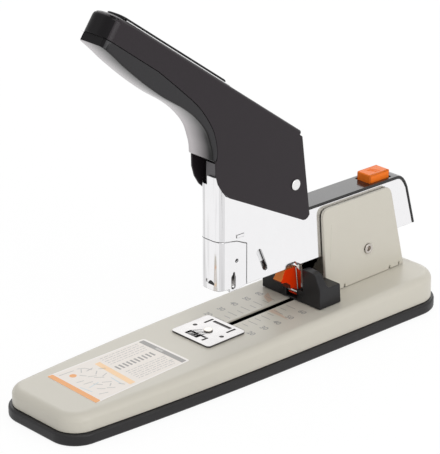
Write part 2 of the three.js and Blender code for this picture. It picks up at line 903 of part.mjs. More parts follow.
// Magazine
function magazineCap() {
  const shape = new THREE.Shape();
  shape.moveTo(headFront - overrun, capFrontBottom);
  shape.lineTo(headFront + capFrontReturn, capFrontBottom);
  shape.lineTo(headFront + capFrontReturn, capBottom);
  shape.lineTo(capHoleX, capBottom);
  shape.lineTo(capHoleX + capSlotHalfWidth, capBottom + clearance);
  shape.lineTo(capRear, headBottom);
  shape.lineTo(capRear, capTopRear);
  shape.lineTo(capHoleX, capTopMiddle);
  shape.lineTo(headFront + headFrontReturn, (capTopFront + capTopMiddle) / 2);
  shape.lineTo(headFront - overrun, capTopFront);
  const sheet = bentSheet(headFront, capRear, capBottom - overrun, capTopFront);
  const walls = common(sheet, plate(shape, -headHalfWidth - overrun, headHalfWidth + overrun));
  const lipFront = headFront + capFrontReturn;
  const lipRear = capHoleX - capSlotHalfWidth;
  const lipInner = coreHalfWidth - coreWall - clearance;
  const lipOuter = headInner + headWall / 2;
  const lips = [-1, 1].map((hand) =>
    sideBlock(lipFront, lipRear, hand, lipInner, lipOuter, capBottom + clearance, coreBottom - clearance),
  );
  const slotShape = stadium(capSlotX, capBottom - overrun, capSlotX, capSlotTop, capSlotHalfWidth);
  const mark = block(
    headFront - overrun,
    headFront + headWall / 2,
    -capMarkHalfWidth,
    capMarkHalfWidth,
    capMarkBottom,
    capMarkBottom + capMarkHeight,
  );
  const reach = headHalfWidth + overrun;
  return cut(
    join(walls, ...lips),
    crossRod(capHoleRadius, capHoleX, capHoleZ, -reach, reach, smallSides),
    common(
      plate(slotShape, -headHalfWidth - overrun, headHalfWidth + overrun),
      block(headFront, capRear, -headHalfWidth - overrun, shortOverrun - headInner, coreBottom, capTopFront),
    ),
    mark,
  );
}

function magazineCore() {
  const outer = block(stapleFront, coreRear, -coreHalfWidth, coreHalfWidth, coreBottom, coreTop);
  const innerHalf = coreHalfWidth - coreWall;
  const hollow = block(
    stapleFront + coreEndWall,
    coreRear + overrun,
    -innerHalf,
    innerHalf,
    coreBottom - overrun,
    coreTop - coreWall,
  );
  const frontGate = block(
    stapleFront - overrun,
    stapleFront + coreEndWall + overrun,
    -innerHalf,
    innerHalf,
    coreBottom - overrun,
    coreTop - coreEndHeight,
  );
  const slot = block(
    stapleFront + coreEndWall + overrun,
    coreRear - overrun,
    -coreSlotHalfWidth,
    coreSlotHalfWidth,
    coreTop - coreSlotDepth,
    coreTop + overrun,
  );
  return cut(outer, hollow, frontGate, slot);
}

function magazineTail() {
  const x0 = coreRear + clearance;
  const body = block(x0, x0 + tailThickness, -coreHalfWidth, coreHalfWidth, coreBottom, coreTop);
  const x1 = x0 + tailThickness;
  return cut(body, longRod(rodRadius + clearance, 0, rodZ, x0 - overrun, x1 + overrun, smallSides));
}

function pusherRod() {
  const x0 = stapleFront + coreEndWall + clearance;
  return longRod(rodRadius, 0, rodZ, x0, coreRear + clearance + tailThickness, smallSides);
}

function pusher() {
  const inner = coreHalfWidth + clearance;
  const outer = inner + pusherWall;
  const rear = pusherFront + pusherLength;
  const bottom = coreTop - pusherDrop;
  const saddle = cut(
    block(pusherFront, rear, -outer, outer, bottom, coreTop + clearance + pusherWall),
    block(pusherFront - overrun, rear + overrun, -inner, inner, bottom - overrun, coreTop + clearance),
  );
  const ring = rodRadius + clearance + pusherRing;
  const tongueHalf = coreSlotHalfWidth - clearance;
  const tongueTopZ = coreTop + clearance + pusherWall / 2;
  const tongue = block(rear - pusherCollarLength, rear, -tongueHalf, tongueHalf, rodZ, tongueTopZ);
  const collar = longRod(ring, 0, rodZ, rear - pusherCollarLength, rear, smallSides);
  const bore = longRod(rodRadius + clearance, 0, rodZ, pusherFront - overrun, rear + overrun, smallSides);
  return cut(join(saddle, tongue, collar), bore);
}

function stapleStrip() {
  const inner = coreHalfWidth + clearance;
  const outer = inner + stapleWire;
  const crown = coreTop + clearance + stapleWire;
  const foot = crown - stapleLeg;
  const body = cut(
    block(stapleFront, stapleRear, -outer, outer, foot, crown),
    block(stapleFront - overrun, stapleRear + overrun, -inner, inner, foot - overrun, coreTop + clearance),
  );
  const reach = outer + overrun;
  const seams = Array.from({ length: stapleCount - 1 }, (_, index) => {
    const x = stapleFront + staplePitch * (index + 1);
    return block(x - stapleGroove, x + stapleGroove, -reach, reach, crown - stapleGroove, crown + overrun);
  });
  return cut(body, ...seams);
}

// Handle, drawn in its own frame around the handle pin
function alongRun(start, shares) {
  const run = handleReach - start;
  return shares.map(([along, up]) => new THREE.Vector2(-start - run * along, seamHeight * up));
}

function shellOutline() {
  const shape = new THREE.Shape();
  shape.moveTo(-webRearReach, handleTop);
  shape.lineTo(-handleReach, handleTop);
  shape.lineTo(-handleReach, seamHeight);
  const [seamStart, ...seam] = alongRun(handleThroat, seamBendShares);
  shape.lineTo(seamStart.x, seamStart.y);
  shape.splineThru(seam);
  shape.lineTo(-handleThroat, -gripThroatDrop);
  shape.quadraticCurveTo(
    plateFrontShare * plateFrontRun - handleThroat,
    -plateFrontDrop,
    plateFrontRun - handleThroat,
    -plateFrontDrop,
  );
  shape.lineTo(plateRearReach - plateRearCorner, -plateRearDrop);
  shape.quadraticCurveTo(plateRearReach, -plateRearDrop, plateRearReach, plateRearCorner - plateRearDrop);
  shape.lineTo(handleWebDrop - webRearReach, handleTop - handleWebDrop);
  shape.lineTo(-webRearReach, handleTop - handleWebDrop);
  return shape;
}

function tipPlan(inset) {
  return roundedRectangle(
    -handleReach + inset,
    plateRearReach + handleTipRun,
    -handleHalfWidth + inset,
    handleHalfWidth - inset,
    handleTipCorner - inset,
  );
}

function tipTool(inset) {
  return slab(tipPlan(inset), -plateFrontDrop - overrun, handleTop + overrun);
}

function handleShell() {
  const outline = shellOutline();
  const reach = handleReach + overrun;
  const bend = (half, top, radius) => {
    const section = roundedRectangle(-half, half, -plateFrontDrop - overrun, top, radius);
    return profile(section, -reach, plateRearReach + overrun);
  };
  const stock = [
    plate(outline, -handleHalfWidth, handleHalfWidth),
    tipTool(0),
    bend(handleHalfWidth, handleTop, handleBend),
  ].reduce(common);
  const innerHalf = handleHalfWidth - handleWall;
  const core = [
    plate(outline, -innerHalf, innerHalf),
    tipTool(handleWall),
    bend(innerHalf, handleTop, handleBend - handleWall),
  ].reduce(common);
  const down = core.clone().translate(0, 0, -handleWall);
  const lower = core.clone().translate(0, 0, -plateFrontDrop);
  const rear = core.clone().translate(overrun, 0, -handleWall);
  const across = handleHalfWidth + overrun;
  const hole = crossRod(handlePinRadius + clearance, 0, 0, -across, across);
  return cut(stock, down, lower, rear, hole);
}

function gripOutline() {
  const shape = new THREE.Shape();
  const top = handleTop - handleWall - clearance;
  const tip = handleReach - handleWall - clearance;
  shape.moveTo(-handleThroat, top);
  shape.lineTo(-tip, top);
  shape.lineTo(-tip, gripTipHeight);
  const heel = new THREE.Vector2(-handleThroat - gripRound, -gripThroatDrop);
  shape.splineThru([...alongRun(handleThroat + gripRound, bellyBendShares), heel]);
  shape.lineTo(-handleThroat, -gripThroatDrop);
  return shape;
}

function handleGrip() {
  const lower = common(plate(gripOutline(), -handleHalfWidth, handleHalfWidth, gripEdge), tipTool(0));
  const tubeHalf = handleHalfWidth - handleWall - clearance;
  const band = plate(shellOutline(), -handleHalfWidth - overrun, handleHalfWidth + overrun);
  const keep = common(plate(gripOutline(), -tubeHalf, tubeHalf), tipTool(handleWall + clearance));
  const skirt = cut(lower, band.clone().translate(0, 0, -clearance), band);
  return join(skirt, keep);
}

function handlePad() {
  const shape = polygon([
    [-padStart, handleTop + clearance],
    [-padEnd, handleTop + clearance],
    [-padEnd, handleTop + clearance + padLipHeight],
    [-padEnd - padThickness, handleTop + clearance + padThickness],
    [-padStart + padThickness, handleTop + clearance + padThickness],
    [-padStart, handleTop + clearance + padLipHeight],
  ]);
  return plate(shape, -padHalfWidth, padHalfWidth, padEdge);
}


// Handle arm: hub on the pin, riser to the web, nose with the driver pin
function handleArm() {
  const barShape = stadium(driverPinU, driverPinV, 0, 0, armWidth / 2);
  const bar = plate(barShape, -armHalfThickness, armHalfThickness);
  const holeRadius = driverPinRadius + clearance;
  const riser = plate(
    polygon([
      [-armRiserFront, driverPinV / 2],
      [-armRiserRear, 0],
      [-armRiserRear, handleTop - handleWall - clearance],
      [-armRiserFront, handleTop - handleWall - clearance],
    ]),
    -armHalfThickness,
    armHalfThickness,
  );
  const hub = crossRod(armHubRadius, 0, 0, -crossHalfWidth, crossHalfWidth);
  return cut(
    join(bar, riser, hub),
    crossRod(handlePinRadius + clearance, 0, 0, -handleHalfWidth, handleHalfWidth),
    crossRod(holeRadius, driverPinU, driverPinV, -handleHalfWidth, handleHalfWidth, smallSides),
  );
}

// Where the driver pin stands in the open handle, in the part's frame
function openPlace(u, v) {
  const x = u * Math.cos(handleTilt) + v * Math.sin(handleTilt);
  const z = -u * Math.sin(handleTilt) + v * Math.cos(handleTilt);
  return [handlePinX + x, handlePinZ + z];
}

function driverBlock() {
  const front = bladeFront + bladeThickness + clearance;
  const [pinX, pinZ] = openPlace(driverPinU, driverPinV);
  const sweep = handlePinX - driverPinReach;
  const slot = stadium(sweep, pinZ, pinX, pinZ, driverPinRadius + clearance);
  return cut(
    block(front, blockRear, -blockHalfWidth, blockHalfWidth, blockBottom, blockTop),
    block(
      front + blockFrontWall,
      blockRear + overrun,
      -armHalfThickness - clearance,
      armHalfThickness + clearance,
      blockBottom + blockFloor,
      blockTop + overrun,
    ),
    plate(slot, -headHalfWidth, headHalfWidth),
  );
}

function driverBlade() {
  const shape = polygon([
    [-bladeHalfWidth, bladeBottom],
    [bladeHalfWidth, bladeBottom],
    [bladeHalfWidth, bladeShoulder],
    [bladeNeckHalfWidth, bladeShoulder],
    [bladeNeckHalfWidth, blockTop],
    [-bladeNeckHalfWidth, blockTop],
    [-bladeNeckHalfWidth, bladeShoulder],
    [-bladeHalfWidth, bladeShoulder],
  ]);
  return profile(shape, bladeFront, bladeFront + bladeThickness);
}

function driverPin() {
  return crossRod(driverPinRadius, 0, 0, -blockHalfWidth, blockHalfWidth, smallSides);
}

// Release button, whose leg reaches down to the magazine's rear end
function releaseButton() {
  const rear = buttonFront + buttonLength;
  const flangeTop = stripBottom - clearance;
  const capTop = stripTop + buttonRise;
  const capShape = roundedRectangle(buttonFront, rear, buttonBottom, capTop, buttonRound);
  const cap = plate(capShape, -buttonHalfWidth, buttonHalfWidth, buttonEdge);
  const flange = block(
    buttonFront - buttonFlange - buttonPlay,
    rear + buttonFlange + buttonPlay,
    -buttonHalfWidth - buttonFlange,
    buttonHalfWidth + buttonFlange,
    buttonBottom,
    flangeTop,
  );
  const bore = post(
    buttonSpringRadius + buttonSpringWire,
    buttonSpringX,
    0,
    buttonBottom - overrun,
    buttonBottom + buttonBoreDepth,
    smallSides,
  );
  const legRear = coreRear + clearance + tailThickness;
  const legBottom = coreTop + clearance + buttonTravel;
  const leg = block(
    legRear - buttonLegThickness,
    legRear,
    -buttonLegHalfWidth,
    buttonLegHalfWidth,
    legBottom,
    flangeTop - buttonFlangeThickness / 2,
  );
  return cut(join(cap, flange, leg), bore);
}

// Depth guide, in the deck's frame
function depthGuide() {
  const rear = guideFront + guideLength;
  const humpRear = guideFront + guideHumpLength;
  const side = new THREE.Shape();
  side.moveTo(guideFront, clearance);
  side.lineTo(rear, clearance);
  side.lineTo(rear - guideRearLean, guideShoulder - clearance);
  side.lineTo(rear - guideRearCorner, guideShoulder);
  side.lineTo(humpRear + guideHumpSweep, guideShoulder);
  side.quadraticCurveTo(humpRear, guideShoulder, humpRear - clearance, guideHump);
  side.lineTo(guideFront, guideHump);
  const towers = [-1, 1].map((hand) => {
    const inner = hand * guideInner;
    const outer = hand * guideHalfWidth;
    const shoulder = hand * (guideHalfWidth - guideShoulderInset);
    const crown = hand * (guideInner + guideHumpWidth);
    const front = new THREE.Shape();
    front.moveTo(inner, 0);
    front.lineTo(inner, guideHump);
    front.lineTo(crown, guideHump);
    front.quadraticCurveTo(shoulder, guideHump, shoulder, guideHump - guideBridge);
    front.lineTo(outer, guideShoulder + clearance);
    front.lineTo(outer, 0);
    const stock = sidePlate(side, hand, guideInner, guideHalfWidth);
    return common(stock, profile(front, guideFront - overrun, rear + overrun));
  });
  const bridgeRear = guideFront + guideBridgeLength;
  const bridgeHalf = guideInner + clearance;
  const bridge = block(guideFront, bridgeRear, -bridgeHalf, bridgeHalf, clearance, guideBridge);
  const lugRear = leverPivotX + leverLugRun;
  const lugs = [-1, 1].map((hand) =>
    sideBlock(guideFront, lugRear, hand, lugInner, lugInner + leverLugWall, clearance, leverLugTop),
  );
  const wellRear = leverPivotX + leverDepth + clearance;
  const leverWell = block(guideFront - overrun, wellRear, -lugInner, lugInner, guideFloor, leverTop);
  const cheekHalf = cheekOuter + clearance;
  const cheekFront = cheekFrontTop - guideCheekGap;
  const cheekGap = block(cheekFront, rear + overrun, -cheekHalf, cheekHalf, -overrun, guideHump + overrun);
  const holeTop = guideBridge + overrun;
  const screwHole = post(guideScrewRadius + clearance, guideScrewX, 0, -overrun, holeTop, smallSides);
  const pinHalf = guideInner - clearance;
  const pinRadius = leverPinRadius + clearance;
  const pinHole = crossRod(pinRadius, leverPivotX, leverPivotZ, -pinHalf, pinHalf, smallSides);
  return cut(join(...towers, bridge, ...lugs), leverWell, cheekGap, screwHole, pinHole);
}

function guideClamp() {
  const top = -coverUnderside;
  const neckHalf = slotHalfWidth - clearance;
  const half = clampLength / 2;
  const depth = top - clampThickness;
  const neckRun = half - neckHalf;
  const body = join(
    block(guideScrewX - half, guideScrewX + half, -clampHalfWidth, clampHalfWidth, depth, top),
    block(guideScrewX - neckRun, guideScrewX + neckRun, -neckHalf, neckHalf, depth, 0),
  );
  return cut(body, post(guideScrewRadius + clearance, guideScrewX, 0, depth - overrun, overrun, smallSides));
}

function guideScrew() {
  const seat = guideBridge + clearance;
  const top = seat + guideScrewHeadHeight;
  return join(
    post(guideScrewHeadRadius, guideScrewX, 0, seat, top, smallSides),
    post(guideScrewRadius, guideScrewX, 0, -coverUnderside - clampThickness, top, smallSides),
  );
}

function guideLever() {
  const shape = polygon(leverSideShares.map(([a, b]) => [leverPivotX - a * leverReach, b * leverTop]));
  return cut(
    plate(shape, -leverHalfWidth, leverHalfWidth),
    crossRod(leverPinRadius + clearance, leverPivotX, leverPivotZ, -guideInner, guideInner, smallSides),
  );
}

function leverPin() {
  const half = lugInner + leverLugWall;
  return crossRod(leverPinRadius, leverPivotX, leverPivotZ, -half, half, smallSides);
}

function guideWire() {
  const y = -leverHalfWidth - clearance - wireRadius;
  const foot = leverPivotZ + leverPinRadius + clearance;
  const rise = leverTop - foot;
  const geometry = post(wireRadius, 0, 0, 0, Math.hypot(rise, wireLean), wireSides);
  return geometry.rotateY(-Math.atan2(wireLean, rise)).translate(leverPivotX, y, foot);
}

// Anvil, in the deck's frame around its own centre
function anvilPlate() {
  const half = anvilLength / 2;
  const shape = roundedRectangle(-half, half, -anvilWidth / 2, anvilWidth / 2, anvilCorner);
  const body = slab(shape, 0, anvilThickness);
  const low = anvilThickness - grooveDepth;
  const high = anvilThickness + overrun;
  const groove = (x, width, hand, near, far) =>
    sideBlock(x - width / 2, x + width / 2, hand, near, far, low, high);
  const leg = (front, rear, hand, y) =>
    sideBlock(front, rear, hand, y - grooveLegWidth / 2, y + grooveLegWidth / 2, low, high);
  const cuts = [-1, 1].flatMap((hand) => [
    leg(clinchLegFront, clinchLegRear, hand, clinchLegY),
    groove(pinningGrooveX, pinningGrooveWidth, hand, pinningGrooveStart, pinningGrooveEnd),
    ...pinningLegYs.map((y) => leg(pinningLegFront, pinningLegRear, hand, y)),
  ]);
  const clinch = groove(clinchGrooveX, clinchGrooveWidth, 1, -clinchGrooveHalf, clinchGrooveHalf);
  const dimples = [-1, 1].map((hand) => {
    const y = hand * dimpleOffset;
    return post(dimpleRadius, 0, y, anvilThickness - dimpleDepth, anvilThickness + overrun, smallSides);
  });
  const hole = post(rivetRadius + clearance, 0, 0, -overrun, anvilThickness + overrun);
  return cut(body, clinch, ...cuts, ...dimples, hole);
}

function anvilRivet() {
  const top = anvilThickness + clearance;
  const bottom = -clearance - coverWall - clearance - washerThickness;
  return join(
    post(rivetHeadRadius, 0, 0, top, top + rivetHeadHeight),
    post(rivetRadius, 0, 0, bottom, top + rivetHeadHeight),
  );
}

function anvilWasher() {
  const top = -clearance - coverWall - clearance;
  return cut(
    post(washerRadius, 0, 0, top - washerThickness, top),
    post(rivetRadius + clearance, 0, 0, top - overrun, top + overrun),
  );
}

// Assembly
const stapler = new THREE.Group();
stapler.name = "heavy_duty_stapler";

const machine = new THREE.Group();
machine.name = "machine_frame";
machine.position.x = machineX;
stapler.add(machine);

const deck = new THREE.Group();
deck.name = "deck_frame";
deck.position.set(0, 0, deckHeight);
deck.rotation.y = deckAngle;
machine.add(deck);

stapler.add(piece("base_tray", baseTray(), "blackPlastic"));
machine.add(piece("base_cover", baseCover(), "greyPaint"));

footPlaces.forEach(([x, y], index) => {
  const mesh = piece(`foot_${index + 1}`, foot(), "rubber");
  mesh.position.set(x, y, 0);
  stapler.add(mesh);
});

coverScrewPlaces.forEach(([x, y], index) => {
  const mesh = piece(`cover_screw_${index + 1}`, coverScrew(), "steel");
  mesh.position.set(x, y, trayGap);
  stapler.add(mesh);
});

machine.add(piece("rear_bracket", rearBracket(), "greyPaint"));

boltXs.forEach((x, index) => {
  const mesh = piece(`bracket_bolt_${index + 1}`, bracketBolt(), "steel");
  mesh.position.set(x, 0, deckHeight + deckRise * (x + boltHeadRadius) + bracketFloor + clearance);
  machine.add(mesh);
});

const pivotPin = piece("head_pivot_pin", headPivotPin(), "steel");
pivotPin.position.set(headPivotX, 0, headPivotZ);
machine.add(pivotPin);

const liftSeatBottom = headBottom - liftSeatThickness;
const liftSpringBottom = deckHeight + deckRise * (liftSpringX + liftSpringRadius) + bracketFloor + clearance;
const liftSpringLength = liftSeatBottom - clearance - liftSpringBottom;
const liftSpring = piece(
  "lift_spring",
  coil("lift_spring", liftSpringRadius, liftSpringWire, liftSpringCurls, liftSpringLength),
  "wire",
);
liftSpring.position.set(liftSpringX, 0, liftSpringBottom);
machine.add(liftSpring);

const anvil = new THREE.Group();
anvil.name = "anvil_frame";
anvil.position.set(anvilX, 0, clearance);
anvil.add(piece("anvil_plate", anvilPlate(), "chrome"));
anvil.add(piece("anvil_rivet", anvilRivet(), "steel"));
anvil.add(piece("anvil_washer", anvilWasher(), "steel"));
deck.add(anvil);

deck.add(piece("depth_guide", depthGuide(), "blackPlastic"));
deck.add(piece("guide_clamp", guideClamp(), "steel"));
deck.add(piece("guide_screw", guideScrew(), "steel"));
deck.add(piece("guide_lever", guideLever(), "orange"));
deck.add(piece("lever_pin", leverPin(), "steel"));
deck.add(piece("guide_wire", guideWire(), "wire"));

machine.add(piece("head_frame", headFrame(), "chrome"));
machine.add(piece("top_strip", topStrip(), "gloss"));

const spacer = piece("head_spacer", headSpacer(), "steel");
spacer.position.copy(pivotPin.position);
machine.add(spacer);

const seatFront = liftSpringX - liftSeatLength / 2;
const seatShape = crossShelf(seatFront, seatFront + liftSeatLength, liftSeatBottom, liftSeatThickness);
machine.add(piece("lift_seat", seatShape, "steel"));
machine.add(piece("spring_shelf", crossShelf(shelfFront, shelfRear, shelfBottom, shelfThickness), "steel"));
const ledgeFront = buttonSpringX - buttonShelfLength / 2;
const ledgeBottom = buttonShelfTop - buttonShelfThickness;
const ledgeShape = crossShelf(ledgeFront, ledgeFront + buttonShelfLength, ledgeBottom, buttonShelfThickness);
machine.add(piece("button_shelf", ledgeShape, "steel"));

const hingePin = piece("handle_pin", handlePin(), "steel");
hingePin.position.set(handlePinX, 0, handlePinZ);
machine.add(hingePin);

machine.add(piece("magazine_cap", magazineCap(), "chrome"));
machine.add(piece("magazine_core", magazineCore(), "steel"));
machine.add(piece("magazine_tail", magazineTail(), "steel"));
machine.add(piece("pusher_rod", pusherRod(), "steel"));
machine.add(piece("staple_strip", stapleStrip(), "wire"));
machine.add(piece("pusher", pusher(), "blackPlastic"));

const pusherSpringStart = pusherFront + pusherLength + clearance;
const pusherSpringLength = coreRear - pusherSpringStart;
const pusherSpring = piece(
  "pusher_spring",
  coil("pusher_spring", pusherSpringRadius, pusherSpringWire, pusherSpringCurls, pusherSpringLength),
  "wire",
);
pusherSpring.position.set(pusherSpringStart, 0, rodZ);
pusherSpring.rotation.y = Math.PI / 2;
machine.add(pusherSpring);

machine.add(piece("release_button", releaseButton(), "orange"));

const buttonSpringBottom = buttonShelfTop + clearance;
const buttonSpringLength = buttonBottom + buttonBoreDepth - clearance - buttonSpringBottom;
const buttonSpring = piece(
  "button_spring",
  coil("button_spring", buttonSpringRadius, buttonSpringWire, buttonSpringCurls, buttonSpringLength),
  "wire",
);
buttonSpring.position.set(buttonSpringX, 0, buttonSpringBottom);
machine.add(buttonSpring);

const handle = new THREE.Group();
handle.name = "handle_frame";
handle.position.set(handlePinX, 0, handlePinZ);
handle.rotation.y = handleTilt;
handle.add(piece("handle_shell", handleShell(), "blackSteel"));
handle.add(piece("handle_grip", handleGrip(), "blackPlastic"));
handle.add(piece("handle_pad", handlePad(), "blackPlastic"));
handle.add(piece("handle_arm", handleArm(), "steel"));
const pressPin = piece("driver_pin", driverPin(), "steel");
pressPin.position.set(driverPinU, 0, driverPinV);
handle.add(pressPin);
machine.add(handle);

machine.add(piece("driver_block", driverBlock(), "steel"));
machine.add(piece("driver_blade", driverBlade(), "steel"));

const springX = (shelfFront + shelfRear) / 2;
const [noseX, noseZ] = openPlace(driverPinU, driverPinV);
const armShare = (handlePinX - springX) / (handlePinX - noseX);
const armSlope = Math.atan2(noseZ - handlePinZ, handlePinX - noseX);
const armLine = handlePinZ + (noseZ - handlePinZ) * armShare;
const armUnder = armLine - armWidth / 2 / Math.cos(armSlope) - returnSpringRadius * Math.tan(armSlope);
const returnSpringBottom = shelfBottom + shelfThickness + clearance;
const returnSpringLength = armUnder - clearance - returnSpringBottom;
const returnSpring = piece(
  "return_spring",
  coil("return_spring", returnSpringRadius, returnSpringWire, returnSpringCurls, returnSpringLength),
  "wire",
);
returnSpring.position.set(springX, 0, returnSpringBottom);
machine.add(returnSpring);

export default stapler;
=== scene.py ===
"""Looks of a heavy duty stapler: long grey base, hinged chrome head, raised black handle.

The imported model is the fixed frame. Every piece is made in that frame, in metres: +X runs from
the nose to the hinged rear, +Y to the far side, +Z up, and the table is at z = 0.
"""

import json
import logging
import math
from dataclasses import dataclass
from enum import Enum
from typing import Callable, Iterable, Sequence, Tuple

import bmesh
import bpy
from mathutils import Matrix, Vector


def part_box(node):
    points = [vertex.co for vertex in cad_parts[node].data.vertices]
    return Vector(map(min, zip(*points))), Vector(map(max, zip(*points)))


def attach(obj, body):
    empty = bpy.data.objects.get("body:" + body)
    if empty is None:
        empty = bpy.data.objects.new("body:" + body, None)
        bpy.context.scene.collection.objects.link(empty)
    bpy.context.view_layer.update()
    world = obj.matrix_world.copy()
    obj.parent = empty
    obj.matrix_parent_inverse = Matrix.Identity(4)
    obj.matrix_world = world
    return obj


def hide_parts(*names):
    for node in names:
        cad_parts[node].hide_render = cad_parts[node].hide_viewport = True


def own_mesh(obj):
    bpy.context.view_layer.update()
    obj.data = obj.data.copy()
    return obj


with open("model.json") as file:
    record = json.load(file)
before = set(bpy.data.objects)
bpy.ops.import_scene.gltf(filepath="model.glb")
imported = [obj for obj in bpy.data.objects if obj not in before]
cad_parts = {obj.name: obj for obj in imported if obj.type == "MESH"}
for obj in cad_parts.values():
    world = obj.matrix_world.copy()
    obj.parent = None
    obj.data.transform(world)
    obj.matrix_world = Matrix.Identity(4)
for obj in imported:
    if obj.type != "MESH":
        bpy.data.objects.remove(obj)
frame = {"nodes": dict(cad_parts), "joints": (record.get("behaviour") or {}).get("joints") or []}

LOG = logging.getLogger("stapler")

Colour = Tuple[float, float, float]
Point = Tuple[float, float]
Place = Tuple[float, float, float]
Mesh = bpy.types.Mesh
Socket = bpy.types.NodeSocket
Sockets = bpy.types.bpy_prop_collection
Rule = Callable[[Vector, Vector], bool]

MM = 0.001
QUARTER = 90.0
LEVEL = Matrix.Identity(4)
UP = Vector((0, 0, 1))
REARWARD = Vector((1, 0, 0))

# Points this close are one, and faces that turn this little are flat
WELD = 1e-6
FLAT = math.radians(0.4)

# Pieces to the curve of a small corner and of a tiny one
SMALL_STEPS = 3
TINY_STEPS = 2

# The sloping deck of the cover, for drawings in x and y that lie on it
DECK_HEIGHT = 20.3 * MM
DECK_SLOPE = math.atan(0.02)
DECK = Matrix.Translation((0, 0, DECK_HEIGHT)) @ Matrix.Rotation(-DECK_SLOPE, 4, "Y")

# Upright drawings in x and z, whose heights run to the near side
UPRIGHT = Matrix(((1, 0, 0, 0), (0, 0, -1, 0), (0, 1, 0, 0), (0, 0, 0, 1)))

# Upright drawings in y and z, whose heights run to the rear
CROSSWISE = Matrix(((0, 0, 1, 0), (1, 0, 0, 0), (0, 1, 0, 0), (0, 0, 0, 1)))


class Side(Enum):
    """The two long sides of the stapler."""

    NEAR = -1
    FAR = 1


class Grain(Enum):
    """How a finish breaks up the light at close range."""

    SMOOTH = "smooth"
    PEEL = "peel"
    MOULDED = "moulded"
    BRUSHED = "brushed"


class Layer(Enum):
    """The layers of print on the label, from the film up."""

    GROUND = 1
    INK = 2
    OVERPRINT = 3


def rgb(colour: Colour) -> Tuple[float, float, float, float]:
    """Gives a colour its alpha.

    Args:
        colour: Linear red, green and blue.

    Returns:
        The colour with an alpha of 1.
    """
    return (*colour, 1.0)


class ShaderSheet:
    """A node tree with short calls for adding and joining nodes."""

    def __init__(self, tree: bpy.types.NodeTree) -> None:
        """Takes the tree that the nodes go into.

        Args:
            tree: A material's, world's or group's node tree.
        """
        self.tree = tree

    def add(self, kind: str, **settings: object) -> bpy.types.Node:
        """Adds a node.

        Args:
            kind: The node's type, without the word ShaderNode.
            **settings: Properties to set on it.

        Returns:
            The new node.
        """
        node = self.tree.nodes.new("ShaderNode" + kind)
        for key, value in settings.items():
            setattr(node, key, value)
        return node

    def join(self, source: Socket, target: Socket) -> None:
        """Links an output socket to an input socket.

        Args:
            source: The output.
            target: The input.
        """
        self.tree.links.new(source, target)

    def give(self, target: Socket, value: object) -> None:
        """Feeds an input with a socket or with a number.

        Args:
            target: The input.
            value: A socket or a number.
        """
        if isinstance(value, Socket):
            self.join(value, target)
        else:
            target.default_value = value

    def maths(self, operation: str, first: object, second: object) -> Socket:
        """Adds a Math node on sockets or numbers.

        Args:
            operation: The node's operation.
            first: A socket or a number.
            second: A socket or a number.

        Returns:
            The result's socket.
        """
        node = self.add("Math", operation=operation)
        for target, value in zip(node.inputs, (first, second)):
            self.give(target, value)
        return node.outputs[0]

    def ramp(self, value: Socket, low: float, high: float, start: float = 0.0, end: float = 1.0) -> Socket:
        """Adds a clamped Map Range node.

        Args:
            value: What is mapped.
            low: The input that gives the start.
            high: The input that gives the end.
            start: The first output.
            end: The last output.

        Returns:
            The mapped value's socket.
        """
        node = self.add("MapRange")
        self.join(value, node.inputs["Value"])
        for name, number in (("From Min", low), ("From Max", high), ("To Min", start), ("To Max", end)):
            node.inputs[name].default_value = number
        return node.outputs["Result"]

    def noise(self, scale: object, detail: float, stretch: Place = (1, 1, 1)) -> Socket:
        """Adds noise in the object's own coordinates.

        Args:
            scale: Bumps to the metre, a number or a socket.
            detail: The noise's octaves.
            stretch: How far the pattern is pulled along each axis.

        Returns:
            The noise factor's socket.
        """
        place = self.add("TexCoord")
        pull = self.add("Mapping")
        pull.inputs["Scale"].default_value = stretch
        node = self.add("TexNoise")
        node.inputs["Detail"].default_value = detail
        self.give(node.inputs["Scale"], scale)
        self.join(place.outputs["Object"], pull.inputs["Vector"])
        self.join(pull.outputs["Vector"], node.inputs["Vector"])
        return node.outputs["Fac"]

    def part(self, kind: str, output: str, axis: str) -> Socket:
        """Gives one part of a vector.

        Args:
            kind: The node that the vector comes from.
            output: The vector's output.
            axis: X, Y or Z.

        Returns:
            The part's socket.
        """
        source = self.add(kind)
        parts = self.add("SeparateXYZ")
        self.join(source.outputs[output], parts.inputs[0])
        return parts.outputs[axis]


def shared_group(name: str, inputs: Sequence[Tuple[str, float]], output: str,
                 draw: Callable[[ShaderSheet, Sockets], Socket]) -> bpy.types.NodeTree:
    """Makes a node group once and gives it back after that.

    Args:
        name: The group's name.
        inputs: Names and defaults of its number inputs.
        output: The name of its one output.
        draw: Fills the group, from its sheet and its input sockets, and returns the result.

    Returns:
        The group.
    """
    known = bpy.data.node_groups.get(name)
    if known:
        return known
    group = bpy.data.node_groups.new(name, "ShaderNodeTree")
    for label, default in inputs:
        socket = group.interface.new_socket(label, in_out="INPUT", socket_type="NodeSocketFloat")
        socket.default_value = default
    group.interface.new_socket(output, in_out="OUTPUT", socket_type="NodeSocketFloat")
    sheet = ShaderSheet(group)
    source = group.nodes.new("NodeGroupInput")
    target = group.nodes.new("NodeGroupOutput")
    sheet.join(draw(sheet, source.outputs), target.inputs[output])
    return group


# Slow blotches: the octaves of the broad and the fine noise, how much finer it is, and their shares
BROAD_OCTAVES, FINE_OCTAVES = 3, 4
FINE_SCALE = 9.0
BROAD_SHARE, FINE_SHARE = 0.65, 0.35
NOISE_MIDDLE = 0.5


